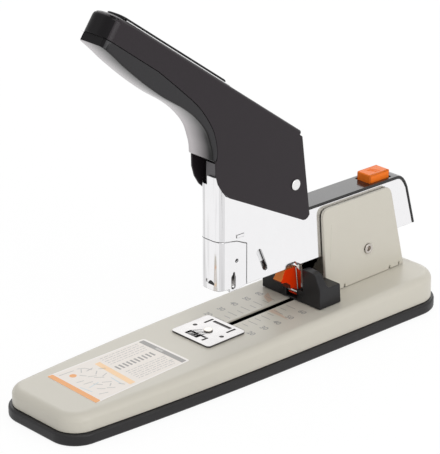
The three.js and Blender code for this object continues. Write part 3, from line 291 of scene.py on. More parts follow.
def tone_group() -> bpy.types.NodeTree:
    """Slow blotches of light and dark, around 1.

    Returns:
        A group with a tone output.
    """

    def draw(sheet: ShaderSheet, given: Sockets) -> Socket:
        """Mixes a broad and a fine noise.

        Args:
            sheet: The group's sheet.
            given: The group's inputs.

        Returns:
            The tone.
        """
        broad = sheet.noise(given["Scale"], BROAD_OCTAVES)
        fine = sheet.noise(sheet.maths("MULTIPLY", given["Scale"], FINE_SCALE), FINE_OCTAVES)
        broad_part = sheet.maths("MULTIPLY", broad, BROAD_SHARE)
        both = sheet.maths("ADD", broad_part, sheet.maths("MULTIPLY", fine, FINE_SHARE))
        swing = sheet.maths("MULTIPLY", sheet.maths("SUBTRACT", both, NOISE_MIDDLE), given["Spread"])
        return sheet.maths("ADD", swing, 1.0)

    return shared_group("surface_tone", [("Scale", 30.0), ("Spread", 0.1)], "Tone", draw)


# Grain: the octaves of each kind, and how far brushing pulls its pattern along
PEEL_OCTAVES, MOULDED_OCTAVES, BRUSHED_OCTAVES = 2, 3, 5
BRUSHED_PULL = (0.05, 1.0, 1.0)


def grain_group(grain: Grain) -> bpy.types.NodeTree:
    """The fine relief of one kind of grain.

    Args:
        grain: The kind.

    Returns:
        A group with a height output.
    """

    def draw(sheet: ShaderSheet, given: Sockets) -> Socket:
        """Draws the relief for the kind of grain.

        Args:
            sheet: The group's sheet.
            given: The group's inputs.

        Returns:
            The height.
        """
        if grain is Grain.BRUSHED:
            base = sheet.noise(given["Scale"], BRUSHED_OCTAVES, BRUSHED_PULL)
        elif grain is Grain.MOULDED:
            cells = sheet.add("TexVoronoi", feature="SMOOTH_F1")
            place = sheet.add("TexCoord")
            sheet.join(place.outputs["Object"], cells.inputs["Vector"])
            sheet.join(given["Scale"], cells.inputs["Scale"])
            base = sheet.maths("ADD", cells.outputs["Distance"], sheet.noise(given["Scale"], MOULDED_OCTAVES))
        else:
            base = sheet.noise(given["Scale"], PEEL_OCTAVES)
        return sheet.maths("MULTIPLY", base, given["Depth"])

    return shared_group("grain_" + grain.value, [("Scale", 900.0), ("Depth", 1.0)], "Height", draw)


# Worn edges and painted edge shade: how far the rounded normal turns from the real one, and the breaks in the
# marks
BEVEL_SAMPLES = 4
TURN_NONE, TURN_FULL = 0.995, 0.9
WEAR_AND_SHADE_WIDTH = 0.4 * MM
WEAR_AND_SHADE_SCALE, WEAR_AND_SHADE_OCTAVES = 160.0, 4
WEAR_AND_SHADE_GAP, WEAR_AND_SHADE_FULL = 0.38, 0.62


def wear_and_edge_shade_group() -> bpy.types.NodeTree:
    """Worn edges and painted edge shade: 1 along a marked convex edge, 0 elsewhere.

    Returns:
        A group with a mask output.
    """

    def draw(sheet: ShaderSheet, given: Sockets) -> Socket:
        """Compares the rounded normal with the real one.

        Args:
            sheet: The group's sheet.
            given: The group's inputs.

        Returns:
            The mask.
        """
        rounded = sheet.add("Bevel", samples=BEVEL_SAMPLES)
        sheet.join(given["Width"], rounded.inputs["Radius"])
        real = sheet.add("NewGeometry")
        turn = sheet.add("VectorMath", operation="DOT_PRODUCT")
        sheet.join(rounded.outputs["Normal"], turn.inputs[0])
        sheet.join(real.outputs["Normal"], turn.inputs[1])
        edge = sheet.ramp(turn.outputs["Value"], TURN_NONE, TURN_FULL)
        patches = sheet.ramp(sheet.noise(WEAR_AND_SHADE_SCALE, WEAR_AND_SHADE_OCTAVES), WEAR_AND_SHADE_GAP, WEAR_AND_SHADE_FULL)
        broken = sheet.maths("MAXIMUM", patches, given["Steady"])
        return sheet.maths("MULTIPLY", sheet.maths("MULTIPLY", edge, broken), given["Amount"])

    return shared_group("edge_wear_and_shade", [("Width", WEAR_AND_SHADE_WIDTH), ("Amount", 0.5), ("Steady", 0.0)], "Mask", draw)


# Painted reflection streaks: a noise pulled along the height, on what faces the nose or the rear
STREAK_SCALE, STREAK_OCTAVES = 420.0, 2
STREAK_PULL = (0.04, 1.0, 0.03)
STREAK_NONE, STREAK_FULL = 0.48, 0.7
FRONT_NONE, FRONT_FULL = 0.15, 0.6


def reflection_streak_group() -> bpy.types.NodeTree:
    """Upright painted reflection streaks: 1 away from a streak, less along a streak.

    Returns:
        A group with a tone output.
    """

    def draw(sheet: ShaderSheet, given: Sockets) -> Socket:
        """Stretches a noise along the height.

        Args:
            sheet: The group's sheet.
            given: The group's inputs.

        Returns:
            The tone.
        """
        lines = sheet.ramp(sheet.noise(STREAK_SCALE, STREAK_OCTAVES, STREAK_PULL), STREAK_NONE, STREAK_FULL)
        across = sheet.maths("ABSOLUTE", sheet.part("NewGeometry", "Normal", "X"), 0.0)
        front = sheet.ramp(across, FRONT_NONE, FRONT_FULL)
        darker = sheet.maths("MULTIPLY", sheet.maths("MULTIPLY", lines, front), given["Amount"])
        return sheet.maths("SUBTRACT", 1.0, darker)

    return shared_group("painted_reflection_streaks", [("Amount", 0.1)], "Tone", draw)


def shade_group() -> bpy.types.NodeTree:
    """Painted shade across the stapler: 1 at the near end of a stretch, 0 at its far end.

    Returns:
        A group with a mask output.
    """

    def draw(sheet: ShaderSheet, given: Sockets) -> Socket:
        """Reads the place across the stapler in the object's own coordinates.

        Args:
            sheet: The group's sheet.
            given: The group's inputs.

        Returns:
            The mask.
        """
        place = sheet.part("TexCoord", "Object", "Y")
        way = sheet.maths("DIVIDE", sheet.maths("SUBTRACT", place, given["From"]), given["Length"])
        return sheet.ramp(way, 0.0, 1.0, 1.0, 0.0)

    return shared_group("near_side_shade", [("From", -0.01), ("Length", 0.01)], "Mask", draw)


# Dust: how far a face looks up, the patches of the film, its colour and its added roughness
UPWARD_NONE, UPWARD_FULL = 0.4, 1.0
DUST_SCALE, DUST_OCTAVES = 70.0, 6
DUST_NONE, DUST_FULL = 0.42, 0.7
DUST_COLOUR = (0.55, 0.53, 0.5)
DUST_ROUGHNESS = 0.4


def dust_group() -> bpy.types.NodeTree:
    """A thin film of dust on what faces up.

    Returns:
        A group with a mask output.
    """

    def draw(sheet: ShaderSheet, given: Sockets) -> Socket:
        """Takes the upward share of the normal and breaks it up.

        Args:
            sheet: The group's sheet.
            given: The group's inputs.

        Returns:
            The mask.
        """
        upward = sheet.ramp(sheet.part("NewGeometry", "Normal", "Z"), UPWARD_NONE, UPWARD_FULL)
        patches = sheet.ramp(sheet.noise(DUST_SCALE, DUST_OCTAVES), DUST_NONE, DUST_FULL)
        return sheet.maths("MULTIPLY", sheet.maths("MULTIPLY", upward, patches), given["Amount"])

    return shared_group("dust_film", [("Amount", 0.1)], "Mask", draw)


# Sockets of the Mix node that hold colours
MIX_UNDER, MIX_OVER, MIX_RESULT = 6, 7, 2

COAT_ROUGHNESS = 0.12
RELIEF_DISTANCE = 0.1 * MM


@dataclass(frozen=True)
class Finish:
    """One surface finish, with its colour, gloss, grain, wear and dust, and the painted edge shade,
    reflection streaks and side shade that some finishes carry.
    """

    name: str
    slot: str
    colour: Colour
    roughness: float
    metallic: float = 0.0
    tone_scale: float = 30.0
    tone_spread: float = 0.1
    grain: Grain = Grain.SMOOTH
    grain_scale: float = 900.0
    grain_depth: float = 0.1
    wear_and_edge_shade: float = 0.0
    wear_and_edge_shade_colour: Colour = (0.5, 0.5, 0.5)
    dust: float = 0.0
    coat: float = 0.0
    specular: float = 0.5
    steady_wear_and_edge_shade: float = 0.0
    reflection_streaks: float = 0.0
    shade_from: float = 0.0
    shade_length: float = 0.0
    shade_colour: Colour = (0.02, 0.02, 0.02)

    def material(self) -> bpy.types.Material:
        """Builds the material once.

        Returns:
            The finish's material.
        """
        known = bpy.data.materials.get(self.name)
        if known:
            return known
        material = bpy.data.materials.new(self.name)
        material.use_nodes = True
        material.diffuse_color = rgb(self.colour)
        sheet = ShaderSheet(material.node_tree)
        shader = material.node_tree.nodes["Principled BSDF"]
        shader.inputs["Metallic"].default_value = self.metallic
        shader.inputs["Specular IOR Level"].default_value = self.specular
        shader.inputs["Coat Weight"].default_value = self.coat
        shader.inputs["Coat Roughness"].default_value = COAT_ROUGHNESS
        self.dress(sheet, shader)
        return material

    def effect(self, sheet: ShaderSheet, group: bpy.types.NodeTree, **numbers: float) -> Socket:
        """Adds a shared effect to the material.

        Args:
            sheet: The material's sheet.
            group: The shared group.
            **numbers: The group's inputs.

        Returns:
            The effect's output.
        """
        node = sheet.add("Group", node_tree=group)
        for name, value in numbers.items():
            node.inputs[name].default_value = value
        return node.outputs[0]

    def dress(self, sheet: ShaderSheet, shader: bpy.types.Node) -> None:
        """Draws colour, roughness and relief.

        Args:
            sheet: The material's sheet.
            shader: Its Principled BSDF.
        """
        tone = self.effect(sheet, tone_group(), Scale=self.tone_scale, Spread=self.tone_spread)
        if self.reflection_streaks:
            tone = sheet.maths("MULTIPLY", tone, self.effect(sheet, reflection_streak_group(), Amount=self.reflection_streaks))
        body = sheet.add("VectorMath", operation="SCALE")
        body.inputs[0].default_value = self.colour
        sheet.join(tone, body.inputs["Scale"])
        colour = body.outputs["Vector"]
        if self.wear_and_edge_shade:
            worn_and_shaded = self.effect(sheet, wear_and_edge_shade_group(), Width=WEAR_AND_SHADE_WIDTH, Amount=self.wear_and_edge_shade,
                               Steady=self.steady_wear_and_edge_shade)
            colour = self.blend(sheet, worn_and_shaded, colour, self.wear_and_edge_shade_colour)
        if self.shade_length:
            shade = self.effect(sheet, shade_group(), From=self.shade_from, Length=self.shade_length)
            colour = self.blend(sheet, shade, colour, self.shade_colour)
        rough = sheet.maths("MULTIPLY", tone, self.roughness)
        if self.dust:
            film = self.effect(sheet, dust_group(), Amount=self.dust)
            colour = self.blend(sheet, film, colour, DUST_COLOUR)
            rough = sheet.maths("ADD", rough, sheet.maths("MULTIPLY", film, DUST_ROUGHNESS))
        sheet.join(colour, shader.inputs["Base Color"])
        sheet.join(rough, shader.inputs["Roughness"])
        relief = sheet.add("Bump")
        relief.inputs["Strength"].default_value = self.grain_depth
        relief.inputs["Distance"].default_value = RELIEF_DISTANCE
        height = self.effect(sheet, grain_group(self.grain), Scale=self.grain_scale, Depth=1.0)
        sheet.join(height, relief.inputs["Height"])
        sheet.join(relief.outputs["Normal"], shader.inputs["Normal"])

    def blend(self, sheet: ShaderSheet, mask: Socket, colour: Socket, over: Colour) -> Socket:
        """Lays one colour over another by a mask.

        Args:
            sheet: The material's sheet.
            mask: How much of the upper colour shows.
            colour: The lower colour.
            over: The upper colour.

        Returns:
            The blended colour's socket.
        """
        mix = sheet.add("Mix", data_type="RGBA")
        sheet.join(mask, mix.inputs["Factor"])
        sheet.join(colour, mix.inputs[MIX_UNDER])
        mix.inputs[MIX_OVER].default_value = rgb(over)
        return mix.outputs[MIX_RESULT]


GREY_PAINT = Finish(
    "warm_grey_paint", "grey_paint", colour=(0.6, 0.57, 0.495), roughness=0.36, tone_scale=14,
    tone_spread=0.06, grain=Grain.PEEL, grain_scale=650, grain_depth=0.1, wear_and_edge_shade=0.1,
    wear_and_edge_shade_colour=(0.72, 0.7, 0.66), dust=0.04, specular=0.4,
)
TRAY_BLACK = Finish(
    "tray_black_plastic", "black_plastic", colour=(0.017, 0.016, 0.017), roughness=0.42, tone_scale=40,
    tone_spread=0.16, grain=Grain.MOULDED, grain_scale=1500, grain_depth=0.25, wear_and_edge_shade=0.35,
    wear_and_edge_shade_colour=(0.1, 0.1, 0.1), dust=0.02, specular=0.28,
)
GRIP_BLACK = Finish(
    "grip_black_plastic", "black_plastic", colour=(0.016, 0.015, 0.017), roughness=0.34, tone_scale=26,
    tone_spread=0.12, grain=Grain.MOULDED, grain_scale=1700, grain_depth=0.12, dust=0.015, specular=0.35,
)
# Grey metal on the grip's black underside: painted reflection of the white table, darker towards the near
# side as painted shade
GRIP_PAINTED_SHEEN = Finish(
    "grip_belly_painted_reflection", "black_plastic", colour=(0.5, 0.475, 0.485), roughness=0.3, metallic=0.85,
    tone_scale=26, tone_spread=0.1, grain=Grain.MOULDED, grain_scale=1700, grain_depth=0.02,
    shade_from=-0.0075, shade_length=0.014,
)
# Darker black on the handle's nose end: painted shade on what faces the front
TIP_PAINTED_SHADE_BLACK = Finish(
    "tip_black_painted_shade", "black_steel", colour=(0.009, 0.008, 0.009), roughness=0.3, tone_scale=26,
    tone_spread=0.12, grain=Grain.PEEL, grain_scale=900, grain_depth=0.05, specular=0.1,
)
# Bright metal for the thin line along the handle's folded edge: a painted highlight
PAINTED_HIGHLIGHT_STEEL = Finish(
    "edge_painted_highlight", "black_steel", colour=(0.8, 0.8, 0.8), roughness=0.3, metallic=1.0, tone_scale=60,
    tone_spread=0.3, grain=Grain.BRUSHED, grain_scale=900, grain_depth=0.03,
)
PAD_BLACK = Finish(
    "pad_black_plastic", "black_plastic", colour=(0.007, 0.007, 0.008), roughness=0.2, tone_scale=26,
    tone_spread=0.12, grain=Grain.MOULDED, grain_scale=1700, grain_depth=0.05, specular=0.2,
)
GUIDE_BLACK = Finish(
    "guide_black_plastic", "black_plastic", colour=(0.012, 0.0115, 0.013), roughness=0.32, tone_scale=60,
    tone_spread=0.14, grain=Grain.MOULDED, grain_scale=1900, grain_depth=0.2, wear_and_edge_shade=0.3,
    wear_and_edge_shade_colour=(0.08, 0.08, 0.09), dust=0.02, specular=0.3,
)
RUBBER = Finish(
    "foot_rubber", "rubber", colour=(0.02, 0.02, 0.02), roughness=0.85, tone_scale=80, tone_spread=0.2,
    grain=Grain.MOULDED, grain_scale=2500, grain_depth=0.4, dust=0.1, specular=0.3,
)
BLACK_STEEL = Finish(
    "black_painted_steel", "black_steel", colour=(0.024, 0.019, 0.0225), roughness=0.28, tone_scale=10,
    tone_spread=0.12, grain=Grain.PEEL, grain_scale=900, grain_depth=0.06, wear_and_edge_shade=0.25,
    wear_and_edge_shade_colour=(0.12, 0.11, 0.12), dust=0.01, specular=0.2,
)
# Bright chrome: its steady dark edges stand partly for bare cut edges and partly are painted dark reflection,
# and its upright streaks are painted reflection
CHROME = Finish(
    "bright_chrome", "chrome", colour=(0.88, 0.875, 0.885), roughness=0.07, metallic=1.0, tone_scale=24,
    tone_spread=0.08, grain=Grain.BRUSHED, grain_scale=500, grain_depth=0.012, wear_and_edge_shade=1.0,
    wear_and_edge_shade_colour=(0.14, 0.14, 0.15), steady_wear_and_edge_shade=0.7, reflection_streaks=0.3,
)
SATIN_CHROME = Finish(
    "satin_chrome", "chrome", colour=(0.45, 0.44, 0.437), roughness=0.26, metallic=1.0, tone_scale=150,
    tone_spread=0.35, grain=Grain.BRUSHED, grain_scale=1200, grain_depth=0.06, wear_and_edge_shade=0.4,
    wear_and_edge_shade_colour=(0.35, 0.34, 0.34),
)
# Dark steel on the anvil's grooves and sides and on the rim of the head's pressed ear: painted shade in the
# hollows and painted dark reflection on the sides
GROOVE_PAINTED_SHADE = Finish(
    "groove_steel_painted_shade", "chrome", colour=(0.1, 0.095, 0.095), roughness=0.45, metallic=1.0, tone_scale=300,
    tone_spread=0.5, grain=Grain.BRUSHED, grain_scale=1500, grain_depth=0.15,
)
STEEL = Finish(
    "plated_steel", "steel", colour=(0.6, 0.595, 0.59), roughness=0.28, metallic=1.0, tone_scale=50,
    tone_spread=0.16, grain=Grain.BRUSHED, grain_scale=1400, grain_depth=0.1, wear_and_edge_shade=0.25,
    wear_and_edge_shade_colour=(0.85, 0.85, 0.85),
)
RIVET_STEEL = Finish(
    "bright_rivet_steel", "steel", colour=(0.85, 0.845, 0.84), roughness=0.16, metallic=1.0, tone_scale=80,
    tone_spread=0.12, grain=Grain.BRUSHED, grain_scale=1400, grain_depth=0.05, wear_and_edge_shade=0.7,
    wear_and_edge_shade_colour=(0.25, 0.24, 0.23),
)
# Dull rivet steel: its steady dark edges are painted shade, the dark crescent of the hollow rivet end
PIVOT_STEEL = Finish(
    "dull_rivet_steel", "steel", colour=(0.56, 0.52, 0.48), roughness=0.22, metallic=1.0, tone_scale=300,
    tone_spread=0.5, grain=Grain.BRUSHED, grain_scale=1400, grain_depth=0.08, wear_and_edge_shade=1.0,
    wear_and_edge_shade_colour=(0.1, 0.085, 0.075), steady_wear_and_edge_shade=0.9,
)
# Darker chrome on the upright bends: painted reflection, for the dark lines that the bends show
BEND_CHROME_PAINTED_REFLECTION = Finish(
    "bend_chrome_painted_reflection", "chrome", colour=(0.74, 0.735, 0.745), roughness=0.12, metallic=1.0, tone_scale=24,
    tone_spread=0.08, grain=Grain.BRUSHED, grain_scale=500, grain_depth=0.012, reflection_streaks=0.3,
)
# Dark grey steel for the press arm and the driver
DARK_STEEL = Finish(
    "dark_grey_steel", "steel", colour=(0.12, 0.115, 0.12), roughness=0.35, metallic=1.0, tone_scale=50,
    tone_spread=0.2, grain=Grain.BRUSHED, grain_scale=1400, grain_depth=0.1,
)
STRIP_GLOSS = Finish(
    "strip_gloss_black", "black_gloss", colour=(0.012, 0.011, 0.011), roughness=0.14, tone_scale=20,
    tone_spread=0.1, grain=Grain.PEEL, grain_scale=500, grain_depth=0.04, dust=0.015, coat=0.25,
    specular=0.3,
)
ORANGE = Finish(
    "button_orange", "orange", colour=(0.93, 0.2, 0.018), roughness=0.3, tone_scale=50, tone_spread=0.08,
    grain=Grain.MOULDED, grain_scale=2200, grain_depth=0.05, wear_and_edge_shade=0.35, wear_and_edge_shade_colour=(1.0, 0.5, 0.16),
    dust=0.01, specular=0.12,
)
# The lever's deep red: its orange painted as if in shade
LEVER_PAINTED_SHADE_ORANGE = Finish(
    "lever_orange_painted_shade", "orange", colour=(0.72, 0.035, 0.002), roughness=0.3, tone_scale=50, tone_spread=0.1,
    grain=Grain.MOULDED, grain_scale=2200, grain_depth=0.06, specular=0.15,
)
DARK_WIRE = Finish(
    "shaded_wire", "spring_wire", colour=(0.035, 0.02, 0.015), roughness=0.5, tone_scale=90,
    tone_spread=0.12, grain=Grain.BRUSHED, grain_scale=1800, grain_depth=0.06, specular=0.15,
)
# Lighter orange on the top of the lever's tab: painted light on what faces up
TAB_PAINTED_LIGHT_ORANGE = Finish(
    "tab_orange_painted_light", "orange", colour=(0.9, 0.24, 0.03), roughness=0.3, tone_scale=50, tone_spread=0.1,
    grain=Grain.MOULDED, grain_scale=2200, grain_depth=0.06, specular=0.3,
)
LEVER_SHADE = Finish(
    "lever_shaded_side", "orange", colour=(0.12, 0.012, 0.002), roughness=0.45, tone_scale=50,
    tone_spread=0.1, grain=Grain.MOULDED, grain_scale=2200, grain_depth=0.06, specular=0.15,
)
WIRE = Finish(
    "drawn_wire", "spring_wire", colour=(0.78, 0.78, 0.79), roughness=0.2, metallic=1.0, tone_scale=90,
    tone_spread=0.12, grain=Grain.BRUSHED, grain_scale=1800, grain_depth=0.06,
)
LABEL_FILM = Finish(
    "label_film", "grey_paint", colour=(0.8, 0.745, 0.69), roughness=0.3, tone_scale=60, tone_spread=0.03,
    grain=Grain.PEEL, grain_scale=900, grain_depth=0.03, specular=0.4,
)
INK_ORANGE = Finish(
    "ink_orange", "grey_paint", colour=(0.82, 0.34, 0.08), roughness=0.35, tone_scale=200, tone_spread=0.1,
    grain=Grain.PEEL, grain_scale=900, grain_depth=0.04,
)
LABEL_WHITE = Finish(
    "label_white", "grey_paint", colour=(0.86, 0.82, 0.79), roughness=0.3, tone_scale=60, tone_spread=0.03,
    grain=Grain.PEEL, grain_scale=900, grain_depth=0.03, specular=0.4,
)
INK_RUST = Finish(
    "ink_faint_rust", "grey_paint", colour=(0.57, 0.44, 0.34), roughness=0.4, tone_scale=200,
    tone_spread=0.3, grain=Grain.PEEL, grain_scale=900, grain_depth=0.04,
)
INK_AMBER = Finish(
    "ink_pale_amber", "grey_paint", colour=(0.9, 0.6, 0.33), roughness=0.35, tone_scale=200,
    tone_spread=0.1, grain=Grain.PEEL, grain_scale=900, grain_depth=0.04,
)
INK_GREY = Finish(
    "ink_grey", "grey_paint", colour=(0.3, 0.29, 0.275), roughness=0.4, tone_scale=200, tone_spread=0.2,
    grain=Grain.PEEL, grain_scale=900, grain_depth=0.04,
)
INK_PALE = Finish(
    "ink_pale", "grey_paint", colour=(0.52, 0.5, 0.48), roughness=0.4, tone_scale=200, tone_spread=0.16,
    grain=Grain.PEEL, grain_scale=900, grain_depth=0.04,
)
INK_BLUE = Finish(
    "ink_pale_blue", "grey_paint", colour=(0.58, 0.65, 0.68), roughness=0.4, tone_scale=200,
    tone_spread=0.08, grain=Grain.PEEL, grain_scale=900, grain_depth=0.04,
)


@dataclass(frozen=True)
class EdgeRound:
    """How far a piece's sharp edges are rounded, in millimetres, and from what angle in degrees."""

    width: float
    segments: int = 2
    angle: float = 32.0


HAIR_EDGE = EdgeRound(0.08)
WIRE_EDGE = EdgeRound(0.1)
BLADE_EDGE = EdgeRound(0.12)
PIN_EDGE = EdgeRound(0.15)
PLATE_EDGE = EdgeRound(0.2)
BLOCK_EDGE = EdgeRound(0.25)
STOUT_EDGE = EdgeRound(0.3)
SHEET_EDGE = EdgeRound(0.22, 2, 40)


class Piece:
    """A made object together with its place in the stapler."""

    made: list = []

    def __init__(self, name: str, mesh: Mesh) -> None:
        """Links a new object.

        Args:
            name: The piece's name.
            mesh: Its mesh, in the stapler's frame.
        """
        self.object = bpy.data.objects.new(name, mesh)
        bpy.context.scene.collection.objects.link(self.object)

    def rounded(self, edge: EdgeRound) -> "Piece":
        """Rounds the sharp edges and evens out the shading.

        Args:
            edge: How far they are rounded.

        Returns:
            The piece.
        """
        self.object.data.shade_smooth()
        bevel = self.object.modifiers.new("edges", "BEVEL")
        bevel.width = edge.width * MM
        bevel.segments = edge.segments
        bevel.limit_method = "ANGLE"
        bevel.angle_limit = math.radians(edge.angle)
        bevel.use_clamp_overlap = False
        bevel.miter_outer = "MITER_ARC"
        weights = self.object.modifiers.new("shading", "WEIGHTED_NORMAL")
        weights.keep_sharp = True
        return self

    def carved(self, cutters: Iterable[Mesh], operation: str = "DIFFERENCE") -> "Piece":
        """Cuts the piece with other meshes and keeps the result.

        Args:
            cutters: The meshes to cut with.
            operation: DIFFERENCE takes them away, INTERSECT keeps what lies in them.

        Returns:
            The piece.
        """
        helpers = []
        for cutter in cutters:
            helper = bpy.data.objects.new("cutter", cutter)
            bpy.context.scene.collection.objects.link(helper)
            cut = self.object.modifiers.new("cut", "BOOLEAN")
            cut.operation = operation
            cut.solver = "EXACT"
            cut.object = helper
            helpers.append(helper)
        self.settle()
        for helper in helpers:
            bpy.data.objects.remove(helper)
        return self

    def painted(self, slot: int, rule: Rule) -> "Piece":
        """Gives the faces that a rule picks another of the piece's finishes.

        Args:
            slot: The finish's number.
            rule: Says from a face's centre and normal whether it is picked.

        Returns:
            The piece.
        """
        for face in self.object.data.polygons:
            if rule(face.center, face.normal):
                face.material_index = slot
        return self

    def settle(self) -> "Piece":
        """Applies the modifiers to the mesh.

        Returns:
            The piece.
        """
        ready = self.object.evaluated_get(bpy.context.evaluated_depsgraph_get())
        mesh = bpy.data.meshes.new_from_object(ready)
        self.object.modifiers.clear()
        self.object.data = mesh
        return self

    def placed(self, body: str, *finishes: Finish, stands_for: Sequence[str] = ()) -> "Piece":
        """Gives the piece its materials, its body and the CAD nodes that it stands for.

        Args:
            body: The body that it rides on.
            *finishes: Its finishes, in the order of its material slots.
            stands_for: The nodes that it replaces.

        Returns:
            The piece.
        """
        self.object.data.materials.clear()
        for finish in finishes:
            self.object.data.materials.append(finish.material())
        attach(self.object, body)
        if stands_for:
            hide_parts(*stands_for)
        Piece.made.append(self.object.name)
        return self


def clean_mesh(name: str, vertices: Sequence[Vector], faces: Sequence[Sequence[int]]) -> Mesh:
    """Makes a mesh with outward faces.

    Args:
        name: The mesh's name.
        vertices: Its points.
        faces: Its faces, by point number.

    Returns:
        The mesh.
    """
    mesh = bpy.data.meshes.new(name)
    mesh.from_pydata([tuple(v) for v in vertices], [], [tuple(f) for f in faces])
    work = bmesh.new()
    work.from_mesh(mesh)
    bmesh.ops.recalc_face_normals(work, faces=work.faces)
    work.to_mesh(mesh)
    work.free()
    return mesh


def copied_mesh(node: str) -> Mesh:
    """Copies a CAD node's shape into clean flat faces.

    Args:
        node: The node's name.

    Returns:
        A new mesh, welded, with its flat triangles joined.
    """
    source = frame["nodes"][node].data
    vertices = [v.co.copy() for v in source.vertices]
    faces = [tuple(p.vertices) for p in source.polygons]
    mesh = bpy.data.meshes.new(node + "_shape")
    mesh.from_pydata(vertices, [], faces)
    work = bmesh.new()
    work.from_mesh(mesh)
    bmesh.ops.remove_doubles(work, verts=work.verts, dist=WELD)
    bmesh.ops.dissolve_limit(work, angle_limit=FLAT, verts=work.verts, edges=work.edges)
    work.to_mesh(mesh)
    work.free()
    return mesh


def copied(node: str, name: str, edge: EdgeRound, body: str, finish: Finish) -> Piece:
    """Makes a rounded piece in the shape of a CAD node.

    Args:
        node: The CAD node that it stands for.
        name: The piece's name.
        edge: How far its edges are rounded.
        body: The body that it rides on.
        finish: Its finish.

    Returns:
        The piece.
    """
    return Piece(name, copied_mesh(node)).rounded(edge).placed(body, finish, stands_for=[node])


def lofted(name: str, rings: Sequence[Sequence[Vector]]) -> Mesh:
    """Joins closed rings of equal count and closes both ends.

    Args:
        name: The mesh's name.
        rings: The rings, from one end to the other.

    Returns:
        The mesh.
    """
    count = len(rings[0])
    vertices = [point for ring in rings for point in ring]
    faces = []
    for low in range(0, len(vertices) - count, count):
        high = low + count
        for i in range(count):
            after = (i + 1) % count
            faces.append([low + i, low + after, high + after, high + i])
    faces.append(list(range(count))[::-1])
    faces.append([len(vertices) - count + i for i in range(count)])
    return clean_mesh(name, vertices, faces)


def prism(name: str, outline: Sequence[Point], low: float, high: float, place: Matrix = LEVEL) -> Mesh:
    """Raises an outline in x and y between two heights.

    Args:
        name: The mesh's name.
        outline: The outline's points.
        low: The lower height.
        high: The upper height.
        place: Where the prism stands.

    Returns:
        The mesh.
    """
    rings = [[place @ Vector((x, y, z)) for x, y in outline] for z in (low, high)]
    return lofted(name, rings)


def joined(name: str, meshes: Iterable[Mesh]) -> Mesh:
    """Puts several meshes into one.

    Args:
        name: The new mesh's name.
        meshes: The meshes.

    Returns:
        The joined mesh.
    """
    work = bmesh.new()
    for mesh in meshes:
        work.from_mesh(mesh)
    result = bpy.data.meshes.new(name)
    work.to_mesh(result)
    work.free()
    return result


def object_mesh(name: str, shape: bpy.types.ID) -> Mesh:
    """Turns a curve or a text into a mesh.

    Args:
        name: A name for the helper.
        shape: The curve or the text.

    Returns:
        The mesh.
    """
    holder = bpy.data.objects.new(name, shape)
    bpy.context.scene.collection.objects.link(holder)
    ready = holder.evaluated_get(bpy.context.evaluated_depsgraph_get())
    mesh = bpy.data.meshes.new_from_object(ready)
    bpy.data.objects.remove(holder)
    return mesh


def soft_corners(points: Sequence[Point], radius: float, steps: int = 4) -> list:
    """Rounds the corners of any outline.

    Args:
        points: The outline's corners.
        radius: How far from each corner the curve starts.
        steps: Pieces to a curve.

    Returns:
        The outline's points.
    """
    result = []
    for index, corner in enumerate(points):
        here = Vector(corner)
        before = here + (Vector(points[index - 1]) - here).normalized() * radius
        after = here + (Vector(points[(index + 1) % len(points)]) - here).normalized() * radius
        for step in range(steps + 1):
            share = step / steps
            spot = before.lerp(here, share).lerp(here.lerp(after, share), share)
            result.append((spot.x, spot.y))
    return result


def quarter_arc(x: float, y: float, radius: float, start: float, steps: int) -> list:
    """A quarter of a circle.

    Args:
        x: Its centre's x.
        y: Its centre's y.
        radius: Its radius.
        start: The angle at its start, in degrees.
        steps: Pieces to the arc.

    Returns:
        The arc's points.
    """
    angles = [math.radians(start + QUARTER * step / steps) for step in range(steps + 1)]
    return [(x + radius * math.cos(a), y + radius * math.sin(a)) for a in angles]


def rounded_outline(x0: float, x1: float, y0: float, y1: float, radius: float, steps: int = 6) -> list:
    """A rectangle with round corners.

    Args:
        x0: Its lowest x.
        x1: Its highest x.
        y0: Its lowest y.
        y1: Its highest y.
        radius: The corners' radius.
        steps: Pieces to a corner.

    Returns:
        The outline's points.
    """
    left, right, low, high = x0 + radius, x1 - radius, y0 + radius, y1 - radius
    centres = ((right, low, -QUARTER), (right, high, 0.0), (left, high, QUARTER), (left, low, 2 * QUARTER))
    return [point for x, y, start in centres for point in quarter_arc(x, y, radius, start, steps)]


def disc_outline(x: float, y: float, radius: float, sides: int = 32) -> list:
    """A circle's points.

    Args:
        x: Its centre's x.
        y: Its centre's y.
        radius: Its radius.
        sides: How many points.

    Returns:
        The outline's points.
    """
    angles = [2 * math.pi * i / sides for i in range(sides)]
    return [(x + radius * math.cos(a), y + radius * math.sin(a)) for a in angles]


def tube(name: str, points: Sequence[Vector], radius: float, sides: int = 4) -> Mesh:
    """A round bar along a line of points.

    Args:
        name: The mesh's name.
        points: The line.
        radius: The bar's radius.
        sides: The bevel's resolution.

    Returns:
        The mesh.
    """
    curve = bpy.data.curves.new(name, "CURVE")
    curve.dimensions = "3D"
    curve.bevel_depth = radius
    curve.bevel_resolution = sides
    curve.use_fill_caps = True
    line = curve.splines.new("POLY")
    line.points.add(len(points) - 1)
    for target, point in zip(line.points, points):
        target.co = (*point, 1.0)
    mesh = object_mesh(name, curve)
    mesh.shade_smooth()
    return mesh


